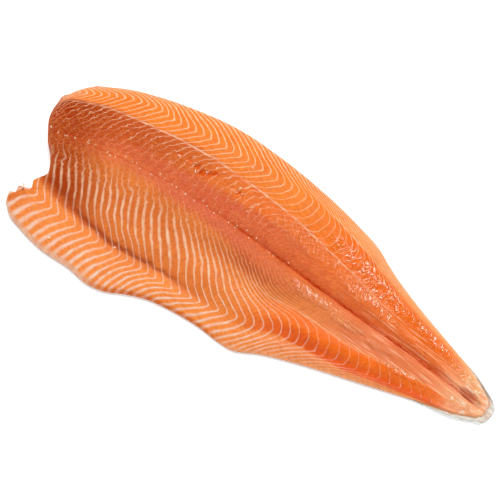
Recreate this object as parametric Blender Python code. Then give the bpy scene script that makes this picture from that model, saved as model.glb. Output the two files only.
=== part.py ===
"""Raw side of salmon, lying skin side down: one solid, lofted through cross-sections.

X runs from the head cut to the tail, Y from the belly flap to the back, Z up from the skin.
A place on the fillet is named by two shares: along, 0 at the head cut and 1 at the tail, and
across, -1 at the belly edge, 0 at the seam between belly and back muscle, 1 at the back edge.
Sizes are in millimetres, and become metres where the mesh is made.
"""

import bmesh
import bpy
import numpy as np

MM = 0.001

# Outline from above. Each row of X stations has the Y values under it.
BACK_X = (-278, -265, -250, -227, -196, -151, -103, -50, 7, 65, 97, 115, 133, 166, 195, 225, 254, 274)
BACK_Y = (53, 68, 76, 88, 99, 110, 117, 116, 110, 99, 90, 81, 73, 61, 52, 43, 34, 24)
BELLY_X = (-246, -228, -209, -177, -140, -110, -94, -76, -55, -30, 6, 30, 45, 71, 97, 154, 212, 260, 276)
BELLY_Y = (-95, -107, -112, -117, -116, -118, -114, -104, -95, -90, -87, -88, -87, -73, -62, -42, -23, -11, -3)
SEAM_X = (-272, -250, -199, -132, -74, 93, 208, 280)
SEAM_Y = (-12, -8, -1, 9, 12, 11, 11, 9)

# The head cut and the tail cut, each as X against the share across
HEAD_ACROSS = (-1, -0.7, -0.4, -0.1, 0.2, 0.55, 0.8, 1)
HEAD_X = (-241, -236, -230, -255, -272, -279, -280, -264)
TAIL_ACROSS = (-1, -0.6, 0, 0.6, 1)
TAIL_X = (280, 280, 282, 281, 277)
# The knife left the belly end of the head cut ragged, which fades out over this share of the length
RAGGED_ACROSS = (-1, -0.9, -0.84, -0.77, -0.7, -0.64, -0.58, -0.5, -0.4)
RAGGED_X = (-1, -7, -3, -6, -1, 2, -5, -6, 0)
RAGGED_LENGTH = 0.05

# Where the belly flap folds up to the ribs, and where the white line of the back runs, as shares across
CREASE_X = (-245, -215, -166, -125, -93, -60, 10, 73, 110, 176, 230, 280)
CREASE_ACROSS = (-0.45, -0.49, -0.56, -0.62, -0.62, -0.70, -0.77, -0.73, -0.77, -0.78, -0.72, -0.65)
LOIN_X = (-271, -251, -199, -147, -67, 31, 87, 111, 280)
LOIN_ACROSS = (0.52, 0.51, 0.49, 0.46, 0.45, 0.44, 0.40, 0.40, 0.40)

# Thickness at the long lines of the muscle, from the belly edge to the back
HEIGHT_X = (-280, -245, -190, -130, -50, 30, 110, 190, 250, 280)
BELLY_EDGE_HEIGHT = (8, 9, 9, 9, 7, 5, 6, 5, 3, 2.5)
FLAP_HEIGHT = (8, 10, 10, 10, 10, 9, 8, 6, 4, 3)
CREASE_HEIGHT = (6, 6, 6, 6, 9, 10, 8.5, 6.5, 4, 3)
FOOT_HEIGHT = (9, 12, 14, 14, 15, 16.5, 15.5, 11, 6, 3.5)
RIB_HEIGHT = (12, 17, 22, 22, 19, 17, 15.5, 11.5, 6.5, 3.5)
RIDGE_HEIGHT = (14, 21, 27, 29, 27.5, 25, 20.5, 14, 7.5, 4)
SEAM_HEIGHT = (15, 22, 28, 30, 28.5, 26, 21, 14, 7.5, 4)
INNER_HEIGHT = (18, 25, 31, 33.5, 32.5, 30, 24.5, 16.5, 8.5, 4)
LOIN_HEIGHT = (20, 28, 34, 36.5, 35.5, 31.5, 25, 16.5, 8.5, 4)
HUMP_HEIGHT = (18, 27, 33, 36, 36, 33.5, 27.5, 18.5, 9.5, 4)
BACK_RIM = (7, 8, 9, 10, 10, 9, 7, 5, 3, 1.5)
BELLY_RIM = 1.5
BACK_DROP = 0.7
# Where three of these lines run, as shares of the way from the seam to the crease, and one to the loin
FOOT_SHARE = 0.8
RIB_SHARE = 0.52
RIDGE_SHARE = 0.2
INNER_SHARE = 0.6

# The groove that the backbone leaves along the seam
GROOVE_ACROSS = 0.02
GROOVE_X = (-280, -70, -10, 50, 150, 220, 262, 280)
GROOVE_DEPTH = (0.5, 1, 2, 4, 4.5, 3.5, 3, 1)
GROOVE_WIDTH = (6, 6, 6, 6, 5.5, 4, 4, 5)

# How round the long edges are: a higher power keeps the top flat for longer
BACK_POWER = 7
BELLY_POWER = 40
UNDERCUT_FROM = 0.8
BELLY_UNDERCUT_FROM = 0.97
# The top rolls down to the head cut by this share, over this share of the length
HEAD_ROLL = 0.4
HEAD_ROLL_LENGTH = 0.03

# Bare skin past the flesh: at the tail cut, and along both edges near it
SKIN_THICKNESS = 1.2
SKIN_TAB = 7
FLESH_STEP = 2.5
SKIN_X = (-280, 200, 235, 262, 282)
BELLY_SKIN = (0, 0, 2.5, 5.5, 6)
BACK_SKIN = (0, 0, 0, 2, 4)

# Where the cross-sections and the points across them lie, closer together where the form turns
ALONG = np.concatenate([
    (0, 0.004, 0.01, 0.018, 0.028, 0.04),
    np.linspace(0.055, 0.94, 58),
    (0.955, 0.968, 0.978, 0.983, 0.988, 1),
])
ACROSS = np.concatenate([
    (-1, -0.993, -0.975, -0.94, -0.89),
    np.linspace(-0.86, -0.22, 19),
    (-0.17, -0.12, -0.08, -0.045, -0.01, 0.02, 0.05, 0.085, 0.12, 0.17),
    np.linspace(0.24, 0.78, 10),
    (0.83, 0.87, 0.905, 0.94, 0.965, 0.985, 0.996, 1),
])


def slopes(widths, rises):
    """The slope of a curve at its stations, from the rise of each span: inside, that of the
    parabola through three stations; at each end, that of the end span."""
    steep = rises / widths
    inner = (steep[..., :-1] * widths[..., 1:] + steep[..., 1:] * widths[..., :-1])
    inner = inner / (widths[..., 1:] + widths[..., :-1])
    return np.concatenate([steep[..., :1], inner, steep[..., -1:]], axis=-1)


def curve(stations, values, at):
    """A smooth curve through values at the stations, read at the last axis' place `at`.
    Stations and values may hold one row each, or a row for every place that is read."""
    at = np.asarray(at, float)
    stations = np.broadcast_to(stations, at.shape + np.shape(stations)[-1:]).astype(float)
    values = np.broadcast_to(values, at.shape + np.shape(values)[-1:]).astype(float)
    at = np.clip(at, stations[..., 0], stations[..., -1])
    widths = np.diff(stations)
    tangent = slopes(widths, np.diff(values))
    span = np.clip((at[..., None] >= stations).sum(-1) - 1, 0, widths.shape[-1] - 1)

    def pick(rows, offset=0):
        return np.take_along_axis(rows, span[..., None] + offset, -1)[..., 0]

    width = pick(widths)
    u = (at - pick(stations)) / width
    rise = u * u * (3 - 2 * u)
    ends = pick(values) * (1 - rise) + pick(values, 1) * rise
    bends = pick(tangent) * u * (1 - u) ** 2 - pick(tangent, 1) * u * u * (1 - u)
    return ends + bends * width


def step_up(distance, width):
    """0 at or below no distance, 1 at or above width, and smooth between."""
    u = np.clip(distance / width, 0, 1)
    return u * u * (3 - 2 * u)


def plan(along, across):
    """X and Y of a place on the fillet, seen from above, and the half width on its side."""
    head = curve(HEAD_ACROSS, HEAD_X, across)
    tail = curve(TAIL_ACROSS, TAIL_X, across)
    fade = np.clip(1 - along / RAGGED_LENGTH, 0, 1) ** 2
    ragged = curve(RAGGED_ACROSS, RAGGED_X, across) * fade * (across < RAGGED_ACROSS[-1])
    x = head + along * (tail - head) + ragged
    seam = curve(SEAM_X, SEAM_Y, x)
    back_width = curve(BACK_X, BACK_Y, x) - seam
    belly_width = seam - curve(BELLY_X, BELLY_Y, x)
    half_width = np.where(across > 0, back_width, belly_width)
    return x, seam + across * half_width, half_width


def muscle_height(x, across):
    """Height of the cut flesh, before its edges are rounded and the groove is pressed in."""
    crease = curve(CREASE_X, CREASE_ACROSS, x)
    loin = curve(LOIN_X, LOIN_ACROSS, x)
    edge = np.ones_like(x)
    belly_lines = [-edge, (crease - 1) / 2, crease, FOOT_SHARE * crease, RIB_SHARE * crease, RIDGE_SHARE * crease]
    back_lines = [0 * edge, INNER_SHARE * loin, loin, (loin + 1) / 2, edge]
    rows = (BELLY_EDGE_HEIGHT, FLAP_HEIGHT, CREASE_HEIGHT, FOOT_HEIGHT, RIB_HEIGHT, RIDGE_HEIGHT,
            SEAM_HEIGHT, INNER_HEIGHT, LOIN_HEIGHT, HUMP_HEIGHT)
    heights = [curve(HEIGHT_X, row, x) for row in rows]
    heights.append(BACK_DROP * heights[-1])
    return curve(np.stack(belly_lines + back_lines, -1), np.stack(heights, -1), across)


def flesh_share(along, across, x, half_width):
    """1 where there is flesh, falling to 0 over the bare skin round the tail."""
    length = TAIL_X[2] - HEAD_X[3]
    to_edge = (1 - np.abs(across)) * half_width
    bare = np.where(across > 0, curve(SKIN_X, BACK_SKIN, x), curve(SKIN_X, BELLY_SKIN, x))
    at_tail = step_up((1 - along) * length - SKIN_TAB, FLESH_STEP)
    at_edge = np.where(bare > 0, step_up(to_edge - bare, FLESH_STEP), 1)
    return at_tail * at_edge


def rim_height(x, across):
    """Height of the widest line, where the top meets the skin."""
    return np.where(across > 0, curve(HEIGHT_X, BACK_RIM, x), BELLY_RIM)


def top_height(along, across, x, half_width):
    """Height of the upper surface."""
    groove = curve(GROOVE_X, GROOVE_DEPTH, x)
    from_seam = (across - GROOVE_ACROSS) * half_width / curve(GROOVE_X, GROOVE_WIDTH, x)
    z = muscle_height(x, across) - groove * np.exp(-from_seam ** 2)
    rim = rim_height(x, across)
    power = np.where(across > 0, BACK_POWER, BELLY_POWER)
    z = rim + (z - rim) * np.sqrt(1 - np.abs(across) ** power)
    z = z * (1 - HEAD_ROLL * np.clip(1 - along / HEAD_ROLL_LENGTH, 0, 1) ** 2)
    bare = np.minimum(z, SKIN_THICKNESS + 0.5 * rim * step_up(np.abs(across), 1))
    share = flesh_share(along, across, x, half_width)
    return bare + (z - bare) * share


def skin_height(across, x):
    """Height of the skin underneath: flat on the board, and turned up to the rim at the edges."""
    start = np.where(across > 0, UNDERCUT_FROM, BELLY_UNDERCUT_FROM)
    u = np.clip((np.abs(across) - start) / (1 - start), 0, 1)
    return rim_height(x, across) * (1 - np.sqrt(1 - u * u))


def fillet_points():
    """Upper and lower points, in metres, as arrays of cross-section by place across."""
    along, across = np.meshgrid(ALONG, ACROSS, indexing="ij")
    x, y, half_width = plan(along, across)
    upper = np.stack([x, y, top_height(along, across, x, half_width)], -1)
    lower = np.stack([x, y, skin_height(across, x)], -1)
    lower[:, [0, -1], 2] = upper[:, [0, -1], 2]
    middle = (upper.min(axis=(0, 1)) + upper.max(axis=(0, 1))) / 2
    middle[2] = 0
    return (upper - middle) * MM, (lower - middle) * MM


def ring_points(upper, lower):
    """One closed loop round each cross-section: over the top to the back, and home under the skin."""
    return np.concatenate([upper, lower[:, -2:0:-1]], axis=1)


def loft(rings):
    """A mesh with a band of quads between each pair of loops, open at both ends."""
    shape = bmesh.new()
    loops = [[shape.verts.new(point) for point in ring] for ring in rings]
    for near, far in zip(loops, loops[1:]):
        for i in range(len(near)):
            j = (i + 1) % len(near)
            shape.faces.new((near[i], near[j], far[j], far[i]))
    return shape, loops


def close_end(shape, loop):
    """The cut face at one end: a ladder of quads between the top and the skin of its loop."""
    count = len(ACROSS)
    top = loop[:count]
    skin = [top[0], *reversed(loop[count:]), top[-1]]
    for i in range(count - 1):
        corners = [top[i], top[i + 1], skin[i + 1], skin[i]]
        shape.faces.new(list(dict.fromkeys(corners)))


def flesh_material():
    """Raw salmon: wet, orange and slightly glossy."""
    material = bpy.data.materials.new("raw_salmon_flesh")
    material.use_nodes = True
    surface = material.node_tree.nodes["Principled BSDF"]
    surface.inputs["Base Color"].default_value = (0.86, 0.27, 0.06, 1)
    surface.inputs["Roughness"].default_value = 0.35
    surface.inputs["Metallic"].default_value = 0
    return material


def make_fillet():
    """The fillet as one closed, smooth-shaded object."""
    upper, lower = fillet_points()
    shape, loops = loft(ring_points(upper, lower))
    close_end(shape, loops[0])
    close_end(shape, loops[-1])
    bmesh.ops.triangulate(shape, faces=shape.faces)
    bmesh.ops.recalc_face_normals(shape, faces=shape.faces)
    mesh = bpy.data.meshes.new("fillet")
    shape.to_mesh(mesh)
    shape.free()
    mesh.shade_smooth()
    mesh.set_sharp_from_angle(angle=np.radians(50))
    mesh.materials.append(flesh_material())
    fillet = bpy.data.objects.new("fillet", mesh)
    bpy.context.scene.collection.objects.link(fillet)
    return fillet


def main():
    for old in list(bpy.data.objects):
        bpy.data.objects.remove(old)
    make_fillet()


main()
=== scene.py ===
# %% [markdown]
# # Raw side of salmon
#
# The object is one side of a large salmon, lying skin side down. What the eye reads is
# the cut flesh: wet orange muscle, crossed by the pale sheets of connective tissue that
# part one muscle segment from the next, with a groove where the backbone lay, a fold
# where the thin belly flap starts, and a scrap of bare skin at the tail.
#
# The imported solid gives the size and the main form. Here the same form is worked out
# again on a much finer grid, so that small relief and the course of every stripe can be
# carried by the mesh, and the skin becomes a sheet of its own underneath.

import bmesh
import bpy
import numpy as np
from mathutils import Matrix, Vector


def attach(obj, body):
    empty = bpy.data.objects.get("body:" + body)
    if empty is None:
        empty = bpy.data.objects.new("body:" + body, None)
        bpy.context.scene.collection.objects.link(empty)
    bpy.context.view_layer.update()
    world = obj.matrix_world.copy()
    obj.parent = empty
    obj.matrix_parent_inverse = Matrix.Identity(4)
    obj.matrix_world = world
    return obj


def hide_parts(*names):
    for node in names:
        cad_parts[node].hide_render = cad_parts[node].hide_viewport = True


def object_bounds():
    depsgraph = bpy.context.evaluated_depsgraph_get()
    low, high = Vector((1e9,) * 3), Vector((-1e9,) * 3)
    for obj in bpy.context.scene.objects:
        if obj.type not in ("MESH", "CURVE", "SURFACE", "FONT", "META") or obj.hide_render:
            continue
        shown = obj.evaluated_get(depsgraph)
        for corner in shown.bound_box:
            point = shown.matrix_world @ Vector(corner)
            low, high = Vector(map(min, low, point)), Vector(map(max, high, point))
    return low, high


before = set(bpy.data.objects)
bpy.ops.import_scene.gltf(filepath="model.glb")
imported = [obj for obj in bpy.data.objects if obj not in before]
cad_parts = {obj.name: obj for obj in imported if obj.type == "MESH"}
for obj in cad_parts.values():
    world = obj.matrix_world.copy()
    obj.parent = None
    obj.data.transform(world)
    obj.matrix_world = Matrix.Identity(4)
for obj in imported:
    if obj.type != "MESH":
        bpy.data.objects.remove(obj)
cad_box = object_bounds()
MM = 0.001
print("solid, in mm:", [round((high - low) / MM, 1) for low, high in zip(*cad_box)])

# %% [markdown]
# ## Curves through a few named values
#
# A fillet has no flat or round parts to measure, so its form is given as a few values at
# stations along the fish, such as the thickness at ten places. A smooth curve runs
# through them. It is a cubic between each pair of stations, whose slopes come from the
# parabola through three neighbours, which keeps it from swinging far past its values.

# %% Curves and fades
def slopes(widths, rises):
    """The slope of a curve at its stations, from the rise of each span: inside, that of the
    parabola through three stations; at each end, that of the end span."""
    steep = rises / widths
    inner = (steep[..., :-1] * widths[..., 1:] + steep[..., 1:] * widths[..., :-1])
    inner = inner / (widths[..., 1:] + widths[..., :-1])
    return np.concatenate([steep[..., :1], inner, steep[..., -1:]], axis=-1)


def curve(stations, values, at):
    """A cubic through values at the stations, read at every place in `at`: the two ends of
    the span are blended by u * u * (3 - 2 u), and the slopes bend it between them."""
    at = np.asarray(at, float)
    stations = np.broadcast_to(stations, at.shape + np.shape(stations)[-1:]).astype(float)
    values = np.broadcast_to(values, at.shape + np.shape(values)[-1:]).astype(float)
    at = np.clip(at, stations[..., 0], stations[..., -1])
    widths = np.diff(stations)
    tangent = slopes(widths, np.diff(values))
    span = np.clip((at[..., None] >= stations).sum(-1) - 1, 0, widths.shape[-1] - 1)

    def pick(rows, offset=0):
        return np.take_along_axis(rows, span[..., None] + offset, -1)[..., 0]

    width = pick(widths)
    u = (at - pick(stations)) / width
    rise = u * u * (3 - 2 * u)
    ends = pick(values) * (1 - rise) + pick(values, 1) * rise
    bends = pick(tangent) * u * (1 - u) ** 2 - pick(tangent, 1) * u * u * (1 - u)
    return ends + bends * width


def step_up(distance, width):
    """0 at or below no distance, 1 at or above width, and smooth between."""
    u = np.clip(distance / width, 0, 1)
    return u * u * (3 - 2 * u)


def bump(distance, width):
    """A bell: 1 at no distance, falling off as exp of minus the square of distance / width."""
    return np.exp(-(distance / width) ** 2)


def between(value, low, high, soft):
    """1 between two limits, fading to 0 over `soft` outside them."""
    return step_up(value - low + soft, soft) * step_up(high + soft - value, soft)


def table(stations, rows, x, at, lines):
    """A value given at a few lines that run along the fish, each with its own curve over x,
    and read between the lines by a second curve. `rows` holds one row of values per line."""
    values = [curve(stations, row, x) for row in rows]
    lines = [np.broadcast_to(np.asarray(line, float), x.shape) for line in lines]
    return curve(np.stack(lines, -1), np.stack(values, -1), at)


# %% [markdown]
# Flesh is never even. Smooth noise is made by giving random numbers to the corners of a
# square lattice and blending between them, and a rougher one by adding finer lattices.
# The numbers come from one seed, so every run gives the same fillet.

# %% Noise
LATTICE = 256
NOISE = np.random.default_rng(7).uniform(-1, 1, (LATTICE, LATTICE))
# Where the lattice is entered, and how far on for each shift and for each finer layer
START = (61.7, 83.1)
SHIFT_STEP = (17.3, 29.9)
LAYER_STEP = (31, 47)


def noise(x, y, size, layers=2, shift=0.0):
    """Value noise from -1 to 1: lattice numbers `size` millimetres apart, blended smoothly,
    plus layers half as large and half as strong. `shift` picks another part of the lattice."""
    total = 0
    reach = 0
    for layer in range(layers):
        scale = 2.0 ** layer
        a = x / size * scale + START[0] + SHIFT_STEP[0] * shift + LAYER_STEP[0] * layer
        b = y / size * scale + START[1] + SHIFT_STEP[1] * shift + LAYER_STEP[1] * layer
        i = np.floor(a).astype(int)
        j = np.floor(b).astype(int)
        u = step_up(a - i, 1)
        v = step_up(b - j, 1)
        left, right = i % LATTICE, (i + 1) % LATTICE
        low, high = j % LATTICE, (j + 1) % LATTICE
        near = NOISE[left, low] * (1 - u) + NOISE[right, low] * u
        far = NOISE[left, high] * (1 - u) + NOISE[right, high] * u
        total = total + (near * (1 - v) + far * v) / scale
        reach += 1 / scale
    return total / reach


# %% [markdown]
# ## The outline and the thickness
#
# A place is named by two shares: `along`, 0 at the head cut and 1 at the tail, and
# `across`, -1 at the belly edge, 0 at the seam between belly and back muscle, and 1 at
# the back edge. Sizes are in millimetres. These are the same values that the solid has,
# except that the two corners of the tail are rounded by about two millimetres more.

# %% Outline seen from above
BACK_X = (-278, -265, -250, -227, -196, -151, -103, -50, 7, 65,
          97, 115, 133, 166, 195, 225, 254, 274)
BACK_Y = (53, 68, 76, 88, 99, 110, 117, 116, 110, 99,
          90, 81, 73, 61, 52, 43, 34, 24)
BELLY_X = (-246, -228, -209, -177, -140, -110, -94, -76, -55, -30,
           6, 30, 45, 71, 97, 154, 212, 260, 276)
BELLY_Y = (-95, -107, -112, -117, -116, -118, -114, -104, -95, -90,
           -87, -88, -87, -73, -62, -42, -23, -11, -3)
SEAM_X = (-272, -250, -199, -132, -74, 93, 208, 280)
SEAM_Y = (-12, -8, -1, 9, 12, 11, 11, 9)
HEAD_ACROSS = (-1, -0.7, -0.4, -0.1, 0.2, 0.55, 0.8, 1)
HEAD_X = (-241, -236, -230, -255, -272, -279, -280, -264)
TAIL_ACROSS = (-1, -0.6, 0, 0.6, 1)
TAIL_X = (277.5, 280.5, 282, 281, 275)
RAGGED_ACROSS = (-1, -0.9, -0.84, -0.77, -0.7, -0.64, -0.58, -0.5, -0.4)
RAGGED_X = (-1, -7, -3, -6, -1, 2, -5, -6, 0)
RAGGED_LENGTH = 0.05


def sides(x, across):
    """Y of the seam at x, and the half width from it out to the outline on a place's side."""
    seam = curve(SEAM_X, SEAM_Y, x)
    back_width = curve(BACK_X, BACK_Y, x) - seam
    belly_width = seam - curve(BELLY_X, BELLY_Y, x)
    return seam, np.where(across > 0, back_width, belly_width)


def plan(along, across):
    """X and Y of a place, seen from above, and the half width on its side: X runs straight
    from the head cut to the tail cut, and Y from the seam out to that side's outline."""
    head = curve(HEAD_ACROSS, HEAD_X, across)
    tail = curve(TAIL_ACROSS, TAIL_X, across)
    fade = np.clip(1 - along / RAGGED_LENGTH, 0, 1) ** 2
    ragged = curve(RAGGED_ACROSS, RAGGED_X, across) * fade * (across < RAGGED_ACROSS[-1])
    x = head + along * (tail - head) + ragged
    seam, half_width = sides(x, across)
    return x, seam + across * half_width, half_width


# %% Thickness at the long lines of the muscle
CREASE_X = (-245, -215, -166, -125, -93, -60, 10, 73, 110, 176, 230, 280)
CREASE_ACROSS = (-0.45, -0.49, -0.56, -0.62, -0.62, -0.70,
                 -0.77, -0.73, -0.77, -0.78, -0.72, -0.65)
LOIN_X = (-271, -251, -199, -147, -67, 31, 87, 111, 280)
LOIN_ACROSS = (0.52, 0.51, 0.49, 0.46, 0.45, 0.44, 0.40, 0.40, 0.40)
HEIGHT_X = (-280, -245, -190, -130, -50, 30, 110, 190, 250, 280)
BELLY_EDGE_HEIGHT = (8, 9, 9, 9, 7, 5, 6, 5, 3, 2.5)
FLAP_HEIGHT = (8, 10, 10, 10, 10, 9, 8, 6, 4, 3)
CREASE_HEIGHT = (6, 6, 6, 6, 9, 10, 8.5, 6.5, 4, 3)
FOOT_HEIGHT = (9, 12, 14, 14, 15, 16.5, 15.5, 11, 6, 3.5)
RIB_HEIGHT = (12, 17, 22, 22, 19, 17, 15.5, 11.5, 6.5, 3.5)
RIDGE_HEIGHT = (14, 21, 27, 29, 27.5, 25, 20.5, 14, 7.5, 4)
SEAM_HEIGHT = (15, 22, 28, 30, 28.5, 26, 21, 14, 7.5, 4)
INNER_HEIGHT = (18, 25, 31, 33.5, 32.5, 30, 24.5, 16.5, 8.5, 4)
LOIN_HEIGHT = (20, 28, 34, 36.5, 35.5, 31.5, 25, 16.5, 8.5, 4)
HUMP_HEIGHT = (18, 27, 33, 36, 36, 33.5, 27.5, 18.5, 9.5, 4)
BACK_RIM = (7, 8, 9, 10, 10, 9, 7, 5, 3, 1.5)
BELLY_RIM = 1.5
BACK_DROP = 0.7
FOOT_SHARE = 0.8
RIB_SHARE = 0.52
RIDGE_SHARE = 0.2
INNER_SHARE = 0.6
BACK_POWER = 7
BELLY_POWER = 40
UNDERCUT_FROM = 0.8
BELLY_UNDERCUT_FROM = 0.97
HEAD_ROLL = 0.4
HEAD_ROLL_LENGTH = 0.03


def muscle_height(x, across):
    """Height of the cut flesh: one curve over x for each long line of the muscle, and a
    curve across them."""
    crease = curve(CREASE_X, CREASE_ACROSS, x)
    loin = curve(LOIN_X, LOIN_ACROSS, x)
    lines = [-1, (crease - 1) / 2, crease]
    lines += [FOOT_SHARE * crease, RIB_SHARE * crease, RIDGE_SHARE * crease]
    lines += [0, INNER_SHARE * loin, loin, (loin + 1) / 2, 1]
    rows = [BELLY_EDGE_HEIGHT, FLAP_HEIGHT, CREASE_HEIGHT]
    rows += [FOOT_HEIGHT, RIB_HEIGHT, RIDGE_HEIGHT]
    rows += [SEAM_HEIGHT, INNER_HEIGHT, LOIN_HEIGHT]
    rows += [HUMP_HEIGHT, np.multiply(BACK_DROP, HUMP_HEIGHT)]
    return table(HEIGHT_X, rows, x, across, lines)


def rim_height(x, across):
    """Height of the widest line, where the top meets the skin."""
    return np.where(across > 0, curve(HEIGHT_X, BACK_RIM, x), BELLY_RIM)


def undercut_start(across):
    """The share across at which the skin leaves the board, on a place's side."""
    return np.where(across > 0, UNDERCUT_FROM, BELLY_UNDERCUT_FROM)


def turned_up(across):
    """How far up its curve the skin has come: 0 while it lies flat, 1 at the rim."""
    start = undercut_start(across)
    return np.clip((np.abs(across) - start) / (1 - start), 0, 1)


def skin_height(x, across):
    """Height of the skin underneath: flat on the board, then a quarter ellipse up to the
    rim."""
    u = turned_up(across)
    return rim_height(x, across) * (1 - np.sqrt(1 - u * u))


# %% [markdown]
# ## The course of the stripes
#
# Each muscle segment of a fish is folded like a W lying on its side, and so is the pale
# sheet between two segments. On the cut face a sheet shows as a thin line: from the belly
# edge it runs tailward to a sharp kink near the fold, back headward over the ribs to the
# seam, and it does the same on the back, with its apex halfway between the white line of
# the back and the edge.
#
# So every stripe gets a number. The `lead` says how many millimetres headward of its apex
# a stripe lies at a given place. Adding the lead to X gives the X of the apex, and a
# curve through a few counted stripes turns that into the stripe's number. The shader only
# has to draw a line wherever the number is whole.

# %% Long lines that the stripes turn at, and the stripes counted along them
KINK_X = (-245, -199, -117, -98, -80, -61, -41, -9, 11, 41, 73, 99, 130, 172, 230, 280)
KINK_ACROSS = (-0.66, -0.66, -0.67, -0.675, -0.73, -0.785, -0.825, -0.80, -0.76, -0.70,
               -0.70, -0.74, -0.775, -0.82, -0.86, -0.9)
APEX_X = (-236, -207, -173, -155, -120, -81, -46, 0, 24, 40, 58, 90, 280)
APEX_ACROSS = (0.68, 0.72, 0.69, 0.635, 0.62, 0.62, 0.64, 0.67, 0.69, 0.66, 0.62, 0.60, 0.60)
OUTER_LINE_X = (-60, 16, 33, 49, 80, 94, 150, 280)
OUTER_LINE_ACROSS = (0.72, 0.81, 0.78, 0.775, 0.745, 0.744, 0.76, 0.8)
STRIP_X = (-20, 80, 107, 130, 155, 178, 196, 280)
STRIP_ACROSS = (-0.84, -0.73, -0.78, -0.84, -0.89, -0.91, -0.93, -0.97)
VENTRAL_X = (-30, -14, 37, 77, 109, 141, 200, 280)
VENTRAL_ACROSS = (-0.32, -0.33, -0.35, -0.37, -0.43, -0.50, -0.50, -0.45)
BELLY_COUNT_X = (-320, -210, -166, -117, -61, 1, 49, 99, 132, 190, 240, 285, 420)
BELLY_COUNT = (-9, 0, 4, 9, 15, 21, 26, 31.8, 35, 40.3, 45, 50, 64)
BACK_COUNT_X = (-320, -236, -155, -72, 0, 87, 150, 220, 285, 420)
BACK_COUNT = (-21, -9.5, 0, 9, 17, 27, 34.5, 43, 52, 70)
GROOVE_ACROSS = 0.02

# %% How far headward of its apex a stripe lies
FLAP_SHARES = (0, 0.4, 1)
FLAP_LEAD_X = (-245, -190, -100, -50, 10, 75, 110, 280)
FLAP_LEADS = ((0,) * 8, (9, 9, 10, 16, 10, 11, 16, 18), (16, 17, 20, 32, 24, 36, 45, 50))
RIB_SHARES = (0, 0.15, 0.3, 0.45, 0.6, 0.8, 1)
RIB_LEAD_X = (-250, -200, -120, -40, 5, 50, 90, 280)
RIB_LEADS = (
    (0,) * 8,
    (11, 13, 14, 14, 17, 12, 6, 9),
    (18, 21, 29, 24, 31, 24, 14, 19),
    (25, 29, 39, 35, 44, 50, 29, 34),
    (33, 38, 48, 51, 64, 90, 64, 60),
    (45, 52, 63, 78, 97, 135, 125, 100),
    (62, 70, 82, 110, 130, 175, 170, 140),
)
INNER_SHARES = (0, 0.35, 0.7, 1)
BACK_LEAD_X = (-250, -120, -40, 5, 40, 280)
INNER_LEADS = ((0,) * 6, (6, 7, 8, 3, 2, 2), (12, 13, 15, 9, 5, 5), (20, 21, 24, 18, 12, 10))
OUTER_SHARES = (0, 0.2, 0.4, 0.6, 0.8, 1)
OUTER_LEAD_X = (-220, -150, -60, 0, 40, 280)
OUTER_LEADS = (
    (0,) * 6,
    (7, 9, 8, 5, 6, 6),
    (16, 21, 20, 19, 20, 20),
    (26, 33, 32, 34, 38, 38),
    (36, 46, 44, 47, 56, 56),
    (46, 59, 56, 60, 74, 74),
)
DEEP_SHARES = (0, 0.12, 0.3, 0.42, 0.6, 1)
DEEP_LEAD_X = (-250, -170, -100, 0, 60, 280)
DEEP_LEADS = (
    (0,) * 6,
    (4, 5, 7, 8, 13, 12),
    (10, 12, 13, 17, 30, 30),
    (13, 15, 15, 21, 44, 44),
    (18, 19, 16, 25, 70, 70),
    (22, 24, 17, 28, 140, 140),
)


def rounded(lead, radius):
    """A lead whose turn is rounded off: the root of its square plus the radius's square,
    less the radius."""
    return np.sqrt(lead * lead + radius * radius) - radius


def stripe_number(x, y, across):
    """The number of the stripe at a place, a whole number on each pale line. Its course
    wanders a little everywhere, and most beside the seam, where the sheets are ragged."""
    kink = curve(KINK_X, KINK_ACROSS, x)
    apex = curve(APEX_X, APEX_ACROSS, x)
    loin = curve(LOIN_X, LOIN_ACROSS, x)
    flap = table(FLAP_LEAD_X, FLAP_LEADS, x, (kink - across) / (kink + 1), FLAP_SHARES)
    rib = table(RIB_LEAD_X, RIB_LEADS, x, (across - kink) / -kink, RIB_SHARES)
    inner = table(BACK_LEAD_X, INNER_LEADS, x, (apex - across) / (apex - loin), INNER_SHARES)
    outer = table(OUTER_LEAD_X, OUTER_LEADS, x, (across - apex) / (1 - apex), OUTER_SHARES)
    deep = curve(BACK_LEAD_X, INNER_LEADS[-1], x)
    deep = deep + table(DEEP_LEAD_X, DEEP_LEADS, x, (loin - across) / loin, DEEP_SHARES)
    turn = 1.8 + 4.5 * step_up(x, 90)
    belly_lead = np.where(across < kink, flap, rib)
    belly = curve(BELLY_COUNT_X, BELLY_COUNT, x + rounded(belly_lead, turn))
    back_lead = np.where(across > apex, outer, np.where(across > loin, inner, deep))
    back = curve(BACK_COUNT_X, BACK_COUNT, x + rounded(back_lead, turn + 0.6))
    number = np.where(across < GROOVE_ACROSS, belly, back)
    ragged = between(across, -0.2, loin - 0.06, 0.1)
    wander = 0.09 * noise(x, y, 17, 2, 21) + 0.09 * noise(x, y, 6, 2, 22)
    wander = wander + 0.07 * step_up(kink - across, 0.1) * noise(x, y, 11, 1, 29)
    bowed = between(across, 0.8 * kink, -0.12, 0.2) * step_up(-40 - x, 80)
    wander = wander + 0.3 * bowed * noise(x, y, 21, 2, 35)
    belly_tail = step_up(x - 60, 60) * step_up(-0.35 - across, 0.1)
    wander = wander + 0.12 * belly_tail * noise(x, y, 4.5, 2, 30)
    return number + wander * (1 + 1.5 * ragged) + 0.14 * ragged * noise(x, y, 4, 2, 23)


# %% [markdown]
# ## Relief that the solid leaves out
#
# The groove of the backbone gets its slit, and its tail end opens into a small hollow, so
# the groove itself is pressed in a millimetre less than in the solid there. The knife tore
# a few spots beside the seam, and a crisp, wavering line marks the fold of the flap. The
# stripes stand a little proud where the wet flesh has sunk between them, and the whole
# face rolls gently, because raw fish is soft and takes up the unevenness of its own muscle.

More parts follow.
